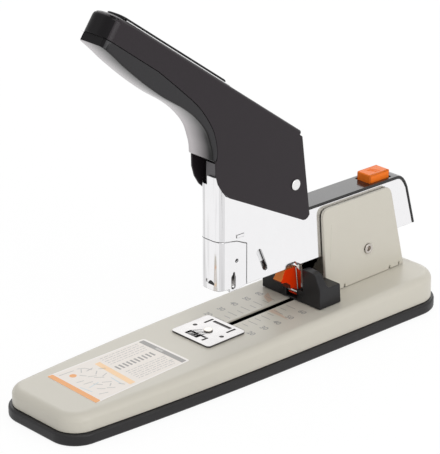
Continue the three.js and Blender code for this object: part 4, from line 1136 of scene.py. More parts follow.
@dataclass(frozen=True)
class CoilSpring:
    """A coil spring that fills its node's box."""

    node: str
    body: str
    joint: str
    wire: float
    turns: int
    axis: Vector
    keep: float
    fixed_low: bool = True
    points_to_turn: int = 24
    flat_share: float = 0.08

    def points(self) -> list:
        """Works out the helix, with a flat start and a flat end.

        Returns:
            The wire's middle line.
        """
        low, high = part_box(self.node)
        middle = (low + high) / 2
        along = self.axis
        across = Vector((0, 1, 0))
        outward = along.cross(across)
        length = abs((high - low).dot(along))
        radius = abs((high - low).dot(across)) / 2 - self.wire / 2
        start = middle - along * length / 2
        steps = self.points_to_turn * self.turns
        line = []
        for step in range(steps + 1):
            share = step / steps
            angle = 2 * math.pi * self.turns * share
            climb = min(max((share - self.flat_share) / (1 - 2 * self.flat_share), 0.0), 1.0)
            rise = self.wire / 2 + (length - self.wire) * climb
            spot = start + along * rise + outward * radius * math.cos(angle)
            line.append(spot + across * radius * math.sin(angle))
        return line

    def build(self) -> Piece:
        """Makes the spring and puts it on its body.

        Returns:
            The piece.
        """
        piece = Piece(self.node + "_coil", tube(self.node, self.points(), self.wire / 2))
        piece.placed(self.body, WIRE, stands_for=[self.node])
        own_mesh(piece.object)
        return piece


@dataclass
class Base:
    """The black tray, the pressed grey cover, the feet, the screws and the rear bracket.

    The profiles are pairs of inset and rise, in millimetres.
    """

    nose_width: float = 64 * MM
    nose_radius: float = 16 * MM
    rear_radius: float = 21 * MM
    corner_steps: int = 12
    taper_end_share: float = 0.07
    taper_pull_share: float = -0.21
    taper_steps: int = 20
    foot_profile: Sequence[Point] = ((1.6, 0.0), (0.6, 0.25), (0.1, 0.9), (0.0, 1.6))
    rim_profile: Sequence[Point] = ((0.0, -1.5), (0.15, -0.8), (0.5, -0.25), (1.1, 0.0))
    rim_gap: float = 0.3 * MM
    lip_inset: float = 3.6 * MM
    lip_wall: float = 1.6 * MM
    lip_height: float = 1.8 * MM
    tray_floor: float = 2.4 * MM
    tray_edge: EdgeRound = EdgeRound(0.2, 2, 40)
    bracket_edge: EdgeRound = EdgeRound(0.6, 3, 40)
    pivot_edge: EdgeRound = EdgeRound(0.3, 3)
    rivet_edge: EdgeRound = EdgeRound(0.2, 3)
    recess_low: float = -2 * MM
    recess_gap: float = 0.3 * MM
    screw_recess: float = 2.1 * MM
    cover_inset: float = 2.1 * MM
    cover_wall: float = 1.2 * MM
    shoulder_across: float = 5.5 * MM
    shoulder_down: float = 4.5 * MM
    shoulder_steps: int = 8
    floor_slope: float = -0.9
    slot_start: float = -1.2 * MM
    slot_end: float = 66 * MM
    slot_half: float = 2.4 * MM
    slot_corner: float = 0.4 * MM
    slot_depth: float = 6 * MM
    crease_x: float = 68.6 * MM
    crease_low: float = 42 * MM
    crease_high: float = 65 * MM
    crease_half: float = 0.3 * MM
    crease_corner: float = 0.25 * MM
    crease_proud: float = 0.1 * MM

    def ring(self, inset: float) -> list:
        """The base's plan, drawn in by an inset.

        Args:
            inset: How far inside the tray's edge.

        Returns:
            The outline's points.
        """
        low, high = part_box("base_tray")
        end = high.x - inset
        rear = high.y - inset
        nose = self.nose_width / 2 - inset
        turn = self.nose_radius - inset
        rear_turn = self.rear_radius - inset
        length = high.x - low.x
        bend = (self.taper_end_share * length, rear)
        pull = (self.taper_pull_share * length, rear)
        tip = (turn - end, nose)
        side = []
        for step in range(1, self.taper_steps):
            t = step / self.taper_steps
            spot = [(1 - t) ** 2 * a + 2 * t * (1 - t) * b + t * t * c for a, b, c in zip(bend, pull, tip)]
            side.append(tuple(spot))
        centre, steps = end - rear_turn, self.corner_steps
        points = quarter_arc(centre, rear_turn - rear, rear_turn, -QUARTER, steps)
        points += quarter_arc(centre, rear - rear_turn, rear_turn, 0.0, steps)
        points += [bend] + side
        points += quarter_arc(turn - end, nose - turn, turn, QUARTER, steps)
        points += quarter_arc(turn - end, turn - nose, turn, 2 * QUARTER, steps)
        points += [(x, -y) for x, y in side[::-1]] + [(bend[0], -bend[1])]
        return points

    def recess(self, node: str, top: float) -> Mesh:
        """The room in the tray for a foot or a screw.

        Args:
            node: The CAD node that goes in.
            top: The height of the room's top.

        Returns:
            The mesh to cut away.
        """
        near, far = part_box(node)
        middle = (near + far) / 2
        outline = disc_outline(middle.x, middle.y, (far.x - near.x) / 2 + self.recess_gap)
        return prism("recess", outline, self.recess_low, top)

    def tray(self) -> Piece:
        """The moulded tray, with its rounded rim, its lip and the recesses below.

        Returns:
            The piece.
        """
        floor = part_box("base_tray")[0].z
        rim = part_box("base_cover")[0].z - self.rim_gap
        lip_inner = self.lip_inset + self.lip_wall
        steps = [(inset * MM, floor + rise * MM) for inset, rise in self.foot_profile]
        steps += [(inset * MM, rim + rise * MM) for inset, rise in self.rim_profile]
        steps += [(self.lip_inset, rim), (self.lip_inset, rim + self.lip_height)]
        steps += [(lip_inner, rim + self.lip_height), (lip_inner, floor + self.tray_floor)]
        rings = [[Vector((x, y, z)) for x, y in self.ring(inset)] for inset, z in steps]
        cutters = []
        for index in range(1, 5):
            foot, screw = f"foot_{index}", f"cover_screw_{index}"
            cutters.append(self.recess(foot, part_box(foot)[1].z + self.recess_gap))
            cutters.append(self.recess(screw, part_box(screw)[0].z + self.screw_recess))
        piece = Piece("tray_shell", lofted("tray", rings)).carved(cutters)
        return piece.rounded(self.tray_edge).placed("base", TRAY_BLACK, stands_for=["base_tray"])

    def cover(self) -> Piece:
        """The pressed cover: straight walls, rounded shoulders, sloping deck and the guide's slot.

        Returns:
            The piece.
        """
        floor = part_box("base_cover")[0].z
        sine, cosine = math.sin(DECK_SLOPE), math.cos(DECK_SLOPE)
        plan = self.ring(self.cover_inset)
        rings = [[DECK @ Vector((x, y, (floor - DECK_HEIGHT - x * sine) / cosine)) for x, y in plan]]
        for step in range(self.shoulder_steps + 1):
            angle = math.radians(QUARTER * step / self.shoulder_steps)
            inset = self.cover_inset + self.shoulder_across * (1 - math.cos(angle))
            drop = self.shoulder_down * (1 - math.sin(angle))
            rings.append([DECK @ Vector((x, y, -drop)) for x, y in self.ring(inset)])
        mesh = lofted("cover", rings)
        work = bmesh.new()
        work.from_mesh(mesh)
        under = [face for face in work.faces if face.normal.z < self.floor_slope]
        bmesh.ops.delete(work, geom=under, context="FACES_ONLY")
        work.to_mesh(mesh)
        work.free()
        piece = Piece("cover_shell", mesh)
        skin = piece.object.modifiers.new("sheet", "SOLIDIFY")
        skin.thickness = self.cover_wall
        skin.offset = -1
        piece.settle()
        half = self.slot_half
        outline = rounded_outline(self.slot_start, self.slot_end, -half, half, self.slot_corner, SMALL_STEPS)
        piece.carved([prism("slot", outline, -self.slot_depth, self.slot_depth, DECK)])
        return piece.rounded(SHEET_EDGE).placed("base", GREY_PAINT, stands_for=["base_cover"])

    def fixings(self) -> None:
        """Feet, screws, bolts, the pivot pin and the anvil's rivet."""
        for index in range(1, 5):
            copied(f"foot_{index}", f"rubber_foot_{index}", STOUT_EDGE, "base", RUBBER)
            copied(f"cover_screw_{index}", f"cover_screw_{index}_body", BLOCK_EDGE, "base", STEEL)
        for index in (1, 2):
            copied(f"bracket_bolt_{index}", f"bracket_bolt_{index}_body", STOUT_EDGE, "base", STEEL)
        copied("head_pivot_pin", "pivot_rivet", self.pivot_edge, "base", PIVOT_STEEL)
        copied("anvil_rivet", "anvil_rivet_body", self.rivet_edge, "base", PIVOT_STEEL)
        copied("anvil_washer", "anvil_washer_body", PIN_EDGE, "base", STEEL)

    def bracket(self) -> None:
        """The folded bracket with its rolled edges and the pressed crease on both cheeks."""
        copied("rear_bracket", "hinge_bracket", self.bracket_edge, "base", GREY_PAINT)
        low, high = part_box("rear_bracket")
        front, rear = self.crease_x - self.crease_half, self.crease_x + self.crease_half
        ends = (front, rear, self.crease_low, self.crease_high)
        outline = rounded_outline(*ends, self.crease_corner, SMALL_STEPS)
        for side in Side:
            wall = high.y if side is Side.FAR else low.y
            mesh = prism("crease", outline, -wall - self.crease_proud, -wall + self.crease_proud, UPRIGHT)
            Piece(f"cheek_crease_{side.name.lower()}", mesh).rounded(HAIR_EDGE).placed("base", GREY_PAINT)

    def build(self) -> None:
        """Builds the whole base, with the spring that lifts the head."""
        self.tray()
        self.cover()
        self.fixings()
        self.bracket()
        CoilSpring("lift_spring", "base", "head_hinge", wire=1.3 * MM, turns=5, axis=UP, keep=0.82).build()


@dataclass
class NoseLabel:
    """A label of plain design: bars, a table of dashes and pale lines.

    Its sizes are millimetres on the deck, x to the rear and y to the far side.
    """

    corners: Sequence[Point] = ((-116.8, 20.2), (-118.0, -22.7), (-48.2, -19.3), (-48.3, 19.0))
    corner_round: float = 1.8
    width: float = 42.0
    border: float = 1.1
    film: float = 0.08
    film_sunk: float = 0.02
    ink: float = 0.03
    ink_corner_part: int = 5
    front_bar: Sequence[Point] = ((-116.7, 19.9), (-117.9, -22.4), (-114.3, -22.1), (-113.2, 19.6))
    front_bar_round: float = 0.9
    middle_bar: Sequence[Point] = ((-88.6, 13.6), (-90.8, -18.6), (-86.9, -18.6), (-85.0, 13.6))
    header: Sequence[Point] = ((-53.4, 17.5), (-53.3, -18.4), (-49.9, -18.3), (-49.9, 17.5))
    header_round: float = 0.5
    header_block: Sequence[float] = (-52.6, -50.9, -0.8, 4.9)
    dashes: int = 10
    dash_start: float = -83.2
    dash_pitch: float = 2.75
    dash_width: float = 1.25
    dash_sides: Point = (-1.4, 3.6)
    rows: Sequence[float] = (-16.4, -14.3, -12.2, -10.1, -8.0, -5.9, 7.0, 9.3, 11.6, 13.9, 16.0)
    row_start: float = -82.6
    row_end: float = -56.5
    row_height: float = 0.55
    mark: float = 2.1
    mark_kinds: int = 3
    mark_gap_part: int = 3
    dot: Sequence[float] = (-106.2, 10.7, 2.0)
    blue_strokes: Sequence[Sequence[float]] = (
        (-112.4, -2.7, -111.0, -11.3), (-92.8, -5.2, -93.7, -15.5), (-109.0, -6.5, -101.5, -5.0),
    )
    grey_strokes: Sequence[Sequence[float]] = (
        (-99.5, 15.6, -95.5, 13.2), (-91.0, 7.6, -87.6, 5.2), (-101.2, 4.2, -97.0, 1.8),
        (-100.1, -6.2, -95.6, -9.2), (-98.0, 13.8, -100.6, 10.4), (-95.6, 12.9, -94.0, 9.2),
        (-93.2, 6.2, -96.2, 3.4), (-99.4, 1.2, -95.2, -2.4), (-103.4, 8.6, -101.0, 5.4),
        (-104.6, -4.4, -101.6, -8.8), (-97.2, -10.4, -99.8, -12.6), (-94.4, -13.4, -92.6, -16.6),
        (-106.8, -10.2, -103.6, -13.4), (-102.4, -13.0, -98.6, -15.8), (-110.0, 3.0, -105.6, 2.0),
        (-108.6, -1.2, -103.0, -2.2), (-111.5, 16.0, -102.0, 15.2), (-110.2, -15.8, -105.2, -17.6),
        (-97.4, 9.9, -92.4, 10.6), (-95.2, -1.0, -91.0, 0.6), (-57.2, -12.0, -55.8, -13.2),
    )
    stroke_width: float = 0.6

    def patch(self, points: Sequence[Point], layer: Layer = Layer.INK) -> Mesh:
        """One patch of ink on the film.

        Args:
            points: Its outline.
            layer: Its layer of print.

        Returns:
            The mesh.
        """
        scaled = [(x * MM, y * MM) for x, y in points]
        return prism("ink", scaled, self.film * MM / 2, (self.film + self.ink * layer.value) * MM, DECK)

    def block(self, x0: float, x1: float, y0: float, y1: float, layer: Layer = Layer.INK) -> Mesh:
        """One straight patch of ink.

        Args:
            x0: Its front.
            x1: Its rear.
            y0: Its near side.
            y1: Its far side.
            layer: Its layer of print.

        Returns:
            The mesh.
        """
        corner = min(x1 - x0, y1 - y0) / self.ink_corner_part
        return self.patch(rounded_outline(x0, x1, y0, y1, corner, TINY_STEPS), layer)

    def stroke(self, x0: float, y0: float, x1: float, y1: float) -> Mesh:
        """One slanting line of ink.

        Args:
            x0: The start's x.
            y0: The start's y.
            x1: The end's x.
            y1: The end's y.

        Returns:
            The mesh.
        """
        start, end = Vector((x0, y0)), Vector((x1, y1))
        aside = (end - start).orthogonal().normalized() * self.stroke_width / 2
        return self.patch([tuple(p) for p in (start - aside, end - aside, end + aside, start + aside)])

    def table(self) -> list:
        """The rows of pale marks that stand for small print.

        Returns:
            The meshes.
        """
        made = []
        for row, y in enumerate(self.rows):
            x = self.row_start
            index = row
            while x < self.row_end:
                width = self.mark * (1 + index % self.mark_kinds) / 2
                made.append(self.block(x, min(x + width, self.row_end + self.mark), y, y + self.row_height))
                x += width + self.mark / self.mark_gap_part
                index += 1
        return made

    def ground(self) -> Mesh:
        """The film's tinted middle, inside its white border.

        Returns:
            The mesh.
        """
        middle = sum((Vector(c) for c in self.corners), Vector((0, 0))) / len(self.corners)
        share = 1 - 2 * self.border / self.width
        inner = [tuple(middle + (Vector(c) - middle) * share) for c in self.corners]
        return self.patch(soft_corners(inner, self.corner_round), Layer.GROUND)

    def build(self) -> None:
        """Builds the film and its inks."""
        sheet = [(x * MM, y * MM) for x, y in soft_corners(self.corners, self.corner_round)]
        film = prism("film", sheet, -self.film_sunk * MM, self.film * MM, DECK)
        Piece("label_film_sheet", film).placed("base", LABEL_WHITE)
        starts = [self.dash_start + index * self.dash_pitch for index in range(self.dashes)]
        dashes = [self.block(x, x + self.dash_width, *self.dash_sides) for x in starts]
        front_bar = self.patch(soft_corners(self.front_bar, self.front_bar_round))
        header = self.patch(soft_corners(self.header, self.header_round))
        grey = [self.stroke(*ends) for ends in self.grey_strokes]
        blue = [self.stroke(*ends) for ends in self.blue_strokes]
        on_header = self.block(*self.header_block, Layer.OVERPRINT)
        layers = {
            "label_ground": (LABEL_FILM, [self.ground()]),
            "label_front_bar": (INK_ORANGE, [front_bar, self.patch(disc_outline(*self.dot))]),
            "label_middle_bar": (INK_AMBER, [self.patch(self.middle_bar)]),
            "label_grey_marks": (INK_GREY, [header] + dashes),
            "label_pale_lines": (INK_PALE, self.table() + grey + [on_header]),
            "label_blue_lines": (INK_BLUE, blue),
        }
        for name, (finish, patches) in layers.items():
            Piece(name, joined(name, patches)).placed("base", finish)


@dataclass
class DepthScale:
    """Printed tick marks, plain numbers and faint marks on both sides of the slot."""

    start: float = -0.9 * MM
    pitch: float = 5 * MM
    count: int = 9
    near_slot: float = 4.8 * MM
    short: float = 5 * MM
    long: float = 7.4 * MM
    line: float = 0.42 * MM
    line_corner_part: int = 5
    ink: float = 0.04 * MM
    number_size: float = 5 * MM
    bold: float = 0.08 * MM
    number_across: float = 17.8 * MM
    number_turn: float = -90.0
    first_number: int = 20
    number_step: int = 10
    near_arrow: Sequence[Point] = ((26.4, -3.0), (26.3, -19.8), (31.1, -3.8))
    far_arrow: Sequence[Point] = ((38.3, 13.2), (34.6, 5.2), (38.6, 6.0), (44.0, 15.4))

    def ticks(self) -> Piece:
        """The tick marks of both sides, every second one long.

        Returns:
            The piece.
        """
        made = []
        corner = self.line / self.line_corner_part
        for side in Side:
            for index in range(self.count):
                x = self.start + index * self.pitch
                reach = self.short if index % 2 else self.long
                ends = sorted((side.value * self.near_slot, side.value * (self.near_slot + reach)))
                outline = rounded_outline(x, x + self.line, *ends, corner, TINY_STEPS)
                made.append(prism("tick", outline, -self.ink, self.ink, DECK))
        return Piece("scale_ticks", joined("ticks", made)).placed("base", INK_GREY)

    def number(self, text: str, x: float, y: float) -> Mesh:
        """One printed number.

        Args:
            text: Its digits.
            x: Its middle along the deck.
            y: Its middle across the deck.

        Returns:
            The mesh.
        """
        words = bpy.data.curves.new("number", "FONT")
        words.body = text
        words.size = self.number_size
        words.align_x = "CENTER"
        words.align_y = "CENTER"
        words.extrude = self.ink
        words.offset = self.bold
        mesh = object_mesh("number", words)
        turn = Matrix.Rotation(math.radians(self.number_turn), 4, "Z")
        mesh.transform(DECK @ Matrix.Translation((x, y, 0)) @ turn)
        return mesh

    def numbers(self) -> Piece:
        """The numbers at the long marks, each the way to the staple in millimetres.

        Returns:
            The piece.
        """
        made = []
        for side in Side:
            for place in range((self.count + 1) // 2):
                text = str(self.first_number + self.number_step * place)
                x = self.start + 2 * place * self.pitch
                made.append(self.number(text, x, side.value * self.number_across))
        return Piece("scale_numbers", joined("numbers", made)).placed("base", INK_GREY)

    def arrows(self) -> Piece:
        """Two faint rust-coloured marks beside the slot.

        Returns:
            The piece.
        """
        made = []
        for points in (self.near_arrow, self.far_arrow):
            made.append(prism("arrow", [(x * MM, y * MM) for x, y in points], -self.ink, self.ink / 2, DECK))
        return Piece("scale_arrows", joined("arrows", made)).placed("base", INK_RUST)

    def build(self) -> None:
        """Builds the scale."""
        self.ticks()
        self.numbers()
        self.arrows()


@dataclass
class Anvil:
    """The turning plate that bends the staple legs."""

    edge: EdgeRound = EdgeRound(0.12, 2, 40)
    skin: float = 0.05 * MM
    inset: float = 0.15 * MM
    corner: float = 2 * MM

    def build(self) -> None:
        """Builds the plate, with painted shade on its grooves and sides, and a dark layer under its edge as
        painted shadow.
        """
        mesh = copied_mesh("anvil_plate")
        back = DECK.inverted()
        heights = [(back @ v.co).z for v in mesh.vertices]
        top, low = max(heights), min(heights)

        def in_groove(centre: Vector, _normal: Vector) -> bool:
            """Says whether a face lies between the plate's two flat sides, where painted shade goes."""
            return low + self.skin < (back @ centre).z < top - self.skin

        piece = Piece("anvil_turntable", mesh).rounded(self.edge)
        piece.placed("anvil", SATIN_CHROME, GROOVE_PAINTED_SHADE, stands_for=["anvil_plate"]).painted(1, in_groove)
        # A thin dark layer just under the plate's edge: painted shadow
        near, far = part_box("anvil_plate")
        ends = (near.x + self.inset, far.x - self.inset, near.y + self.inset, far.y - self.inset)
        layer = prism("layer", rounded_outline(*ends, self.corner), self.skin, low + self.skin, DECK)
        Piece("anvil_painted_shadow_layer", layer).placed("anvil", GUIDE_BLACK)


@dataclass
class DepthGuide:
    """The sliding paper stop with its clamp, its orange lever and its wire."""

    body_edge: EdgeRound = EdgeRound(0.5, 3, 30)
    lever_edge: EdgeRound = EdgeRound(0.4, 3, 25)
    wall_front: float = 47.5 * MM
    wall_thick: float = 0.6 * MM
    wall_half: float = 9.7 * MM
    wall_corner: float = 0.1 * MM
    way_near: float = 4.9 * MM
    way_far: float = 3.8 * MM
    wall_low: float = 0.4 * MM
    wall_high: float = 7.6 * MM
    room_ahead: float = 4 * MM
    room_low: float = -2 * MM
    room_corner: float = 0.2 * MM
    lever_foot: float = 48.9 * MM
    lever_foot_high: float = 8 * MM
    lever_half: float = 5 * MM
    tab_end: float = 46.6 * MM
    tab_slope: float = 0.3
    shade_slope: float = 0.1
    shade_side: float = 0.5
    bright_below: float = 3 * MM
    bright_reach: float = 1.4 * MM

    def front_wall(self) -> Piece:
        """The low dark walls between the guide's cheeks, on both sides of the lever.

        Returns:
            The piece.
        """
        rear = self.wall_front + self.wall_thick
        walls = []
        for ends in ((-self.wall_half, -self.way_near), (self.way_far, self.wall_half)):
            outline = rounded_outline(self.wall_front, rear, *ends, self.wall_corner, TINY_STEPS)
            walls.append(prism("wall", outline, self.wall_low, self.wall_high, DECK))
        piece = Piece("guide_front_wall", joined("walls", walls)).rounded(WIRE_EDGE)
        return piece.placed("guide", GUIDE_BLACK)

    def on_tab(self, centre: Vector, normal: Vector) -> bool:
        """Says whether a face is on top of the lever's tab, which is painted lighter as light."""
        return centre.x < self.tab_end and normal.z > self.tab_slope

    def on_shade(self, centre: Vector, normal: Vector) -> bool:
        """Says whether a face is on the tab's shaded front."""
        return centre.x < self.tab_end and normal.z < self.shade_slope and abs(normal.y) < self.shade_side

    def lever(self) -> Piece:
        """The orange lever, cut back where the low walls stand, in a deep red that paints its orange in
        shade, with the top of its tab painted a lighter orange as light.

        Returns:
            The piece.
        """
        front, half = self.wall_front - self.room_ahead, self.lever_half
        room = rounded_outline(front, self.lever_foot, -half, half, self.room_corner, TINY_STEPS)
        foot = prism("room", room, self.room_low, self.lever_foot_high, DECK)
        lever = Piece("lever_body", copied_mesh("guide_lever")).carved([foot]).rounded(self.lever_edge)
        lever.placed("lever", LEVER_PAINTED_SHADE_ORANGE, TAB_PAINTED_LIGHT_ORANGE, LEVER_SHADE, stands_for=["guide_lever"])
        return lever.painted(1, self.on_tab).painted(2, self.on_shade)

    def wire(self) -> Piece:
        """The wire, bright on its front leg and dark elsewhere.

        Returns:
            The piece.
        """
        low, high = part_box("guide_wire")

        def on_leg(centre: Vector, _normal: Vector) -> bool:
            """Says whether a face is on the bright leg."""
            return centre.z < high.z - self.bright_below and centre.x < low.x + self.bright_reach

        wire = Piece("lever_wire", copied_mesh("guide_wire")).rounded(WIRE_EDGE)
        return wire.placed("lever", DARK_WIRE, WIRE, stands_for=["guide_wire"]).painted(1, on_leg)

    def build(self) -> None:
        """Builds the guide and what it carries."""
        copied("depth_guide", "guide_block", self.body_edge, "guide", GUIDE_BLACK)
        copied("guide_clamp", "guide_clamp_plate", BLOCK_EDGE, "guide", STEEL)
        copied("guide_screw", "guide_screw_body", PLATE_EDGE, "guide", STEEL)
        copied("lever_pin", "lever_pin_body", PIN_EDGE, "guide", STEEL)
        self.front_wall()
        self.lever()
        self.wire()


# The normal of a face on an upright bend: how far it looks to the front and to a side
BEND_FRONT = 0.09
BEND_SIDE = 0.72


def on_bend(_centre: Vector, normal: Vector) -> bool:
    """Says whether a face lies on an upright bend between the front and a side, where a darker reflection is
    painted.
    """
    return normal.x < -BEND_FRONT and abs(normal.y) > BEND_SIDE


def bend_cutters(front: float, half: float, radius: float, steps: int = 12) -> list:
    """Tools that round the two upright front bends of a folded sheet.

    Args:
        front: The sheet's front plane.
        half: Half its outer width.
        radius: The bend's outer radius.
        steps: Pieces to a bend.

    Returns:
        The meshes to cut away.
    """
    low = radius
    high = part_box("head_frame")[1].z * 2
    arc = [math.radians(QUARTER * step / steps) for step in range(steps + 1)]
    made = []
    for side in Side:
        out = side.value * half
        reach = side.value * radius
        curve = [(front + radius * (1 - math.sin(a)), out - reach * (1 - math.cos(a))) for a in arc]
        corner = [(front - radius, out - reach), (front - radius, out + reach), (front + radius, out + reach)]
        made.append(prism("bend", curve + corner, low, high))
    return made


@dataclass
class ChromeHead:
    """The folded chrome frame, its glossy strip and what sits inside.

    The slot's ends and radius and the wall's place are in millimetres.
    """

    slot_ends: Sequence[Point] = ((18.6, 52.1), (14.2, 62.3))
    slot_radius: float = 1.7
    wall: float = -8.8
    cut_inside: float = 2
    cut_outside: float = 1
    ear_plane: float = -8.35 * MM
    ear_slope: float = -0.8
    front: float = -16.6 * MM
    half: float = 8.3 * MM
    bend: float = 5.2 * MM
    strip_edge: EdgeRound = EdgeRound(0.35, 3, 40)
    rivet_edge: EdgeRound = EdgeRound(0.28, 3)

    def on_ear_rim(self, centre: Vector, normal: Vector) -> bool:
        """Says whether a face is on the rim of the pressed ear, which is painted dark as shade."""
        return centre.y < self.ear_plane and normal.y > self.ear_slope

    def folded_frame(self) -> None:
        """The folded frame with the pusher's slanting slot and the small pressed ear."""
        low, high = (Vector(end) * MM for end in self.slot_ends)
        aside = (high - low).orthogonal().normalized() * self.slot_radius * MM
        reach = (high - low).normalized() * self.slot_radius * MM
        corners = [low - reach - aside, low - reach + aside, high + reach + aside, high + reach - aside]
        outline = soft_corners([tuple(c) for c in corners], self.slot_radius * MM)
        inner, outer = (-self.wall - self.cut_inside) * MM, (-self.wall + self.cut_outside) * MM
        bends = bend_cutters(self.front, self.half, self.bend)
        cutters = [prism("slot", outline, inner, outer, UPRIGHT), *bends]
        piece = Piece("chrome_frame", copied_mesh("head_frame")).carved(cutters).rounded(SHEET_EDGE)
        piece.placed("head", CHROME, BEND_CHROME_PAINTED_REFLECTION, GROOVE_PAINTED_SHADE, stands_for=["head_frame"])
        piece.painted(1, on_bend).painted(2, self.on_ear_rim)

    def build(self) -> None:
        """Builds the head."""
        self.folded_frame()
        copied("top_strip", "gloss_strip", self.strip_edge, "head", STRIP_GLOSS)
        copied("head_spacer", "spacer_tube", PLATE_EDGE, "head", STEEL)
        copied("lift_seat", "lift_seat_plate", PLATE_EDGE, "head", STEEL)
        copied("spring_shelf", "spring_shelf_plate", PLATE_EDGE, "head", STEEL)
        copied("button_shelf", "button_shelf_plate", PLATE_EDGE, "head", STEEL)
        copied("handle_pin", "handle_rivet", self.rivet_edge, "head", RIVET_STEEL)
        springs = (
            CoilSpring("button_spring", "head", "button_press", wire=0.5 * MM, turns=4, axis=UP, keep=0.62),
            CoilSpring("return_spring", "head", "handle_hinge", wire=1.1 * MM, turns=6, axis=UP, keep=0.34),
        )
        for spring in springs:
            spring.build()


@dataclass
class Magazine:
    """The slide-out magazine with its staples and pusher.

    Its sizes are millimetres. The slot runs from front to rear and from low to high.
    """

    slot: Sequence[float] = (-7.0, -3.9, 45.6, 54.2)
    slot_round: float = 0.49
    wall: float = -8.3
    cut_inside: float = 1.6
    cut_outside: float = 1
    front: float = -16.6
    bend: float = 5.2
    mark: Sequence[float] = (-2.0, 49.8, 2.3)
    mark_proud: float = 0.1
    mark_sunk: float = 0.3
    rail_edge: EdgeRound = EdgeRound(0.15, 2, 40)

    def nose(self) -> None:
        """The folded nose with its side slot and the round-topped mark on its front."""
        x0, x1, z0, z1 = (value * MM for value in self.slot)
        outline = rounded_outline(x0, x1, z0, z1, (x1 - x0) * self.slot_round)
        inner, outer = (-self.wall - self.cut_inside) * MM, (-self.wall + self.cut_outside) * MM
        bends = bend_cutters(self.front * MM, -self.wall * MM, self.bend * MM)
        cutters = [prism("slot", outline, inner, outer, UPRIGHT), *bends]
        nose = Piece("magazine_nose", copied_mesh("magazine_cap")).carved(cutters).rounded(SHEET_EDGE)
        nose.placed("magazine", CHROME, BEND_CHROME_PAINTED_REFLECTION, stands_for=["magazine_cap"]).painted(1, on_bend)
        y, z, radius = self.mark
        points = [(p * MM, max(q, z) * MM) for p, q in disc_outline(y, z, radius)]
        out, into = (self.front - self.mark_proud) * MM, (self.front + self.mark_sunk) * MM
        Piece("nose_front_mark", prism("mark", points, out, into, CROSSWISE)).placed("magazine", GUIDE_BLACK)

    def build(self) -> None:
        """Builds the magazine."""
        self.nose()
        copied("magazine_core", "magazine_rail", self.rail_edge, "magazine", STEEL)
        copied("magazine_tail", "magazine_end_plate", PLATE_EDGE, "magazine", STEEL)
        copied("pusher_rod", "pusher_rod_bar", PIN_EDGE, "magazine", STEEL)
        copied("staple_strip", "staple_row", HAIR_EDGE, "magazine", WIRE)
        copied("pusher", "pusher_block", BLOCK_EDGE, "pusher", GUIDE_BLACK)
        CoilSpring("pusher_spring", "magazine", "pusher_slide", wire=0.6 * MM, turns=15, axis=REARWARD,
                   keep=0.5, fixed_low=False).build()


@dataclass
class ReleaseButton:
    """The orange button with two raised slanting bars on its top."""

    edge: EdgeRound = EdgeRound(0.5, 3)
    bar_length: float = 6.4 * MM
    bar_width: float = 0.8 * MM
    bar_corner: float = 0.35 * MM
    bar_height: float = 0.25 * MM
    bar_sunk: float = 0.2 * MM
    bar_gap: float = 2.4 * MM
    bar_turn: float = 28.0

    def build(self) -> None:
        """Builds the button and its raised bars."""
        copied("release_button", "orange_button", self.edge, "button", ORANGE)
        low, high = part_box("release_button")
        middle = Vector(((low.x + high.x) / 2, 0, high.z))
        half, reach = self.bar_width / 2, self.bar_length / 2
        outline = rounded_outline(-half, half, -reach, reach, self.bar_corner, SMALL_STEPS)
        turn = Matrix.Rotation(math.radians(self.bar_turn), 4, "Z")
        for name, way in (("button_bar_1", -1), ("button_bar_3", 1)):
            place = Matrix.Translation(middle + Vector((way * self.bar_gap / 2, 0, 0))) @ turn
            mesh = prism("bar", outline, -self.bar_sunk, self.bar_height, place)
            Piece(name, mesh).rounded(BLADE_EDGE).placed("button", ORANGE)


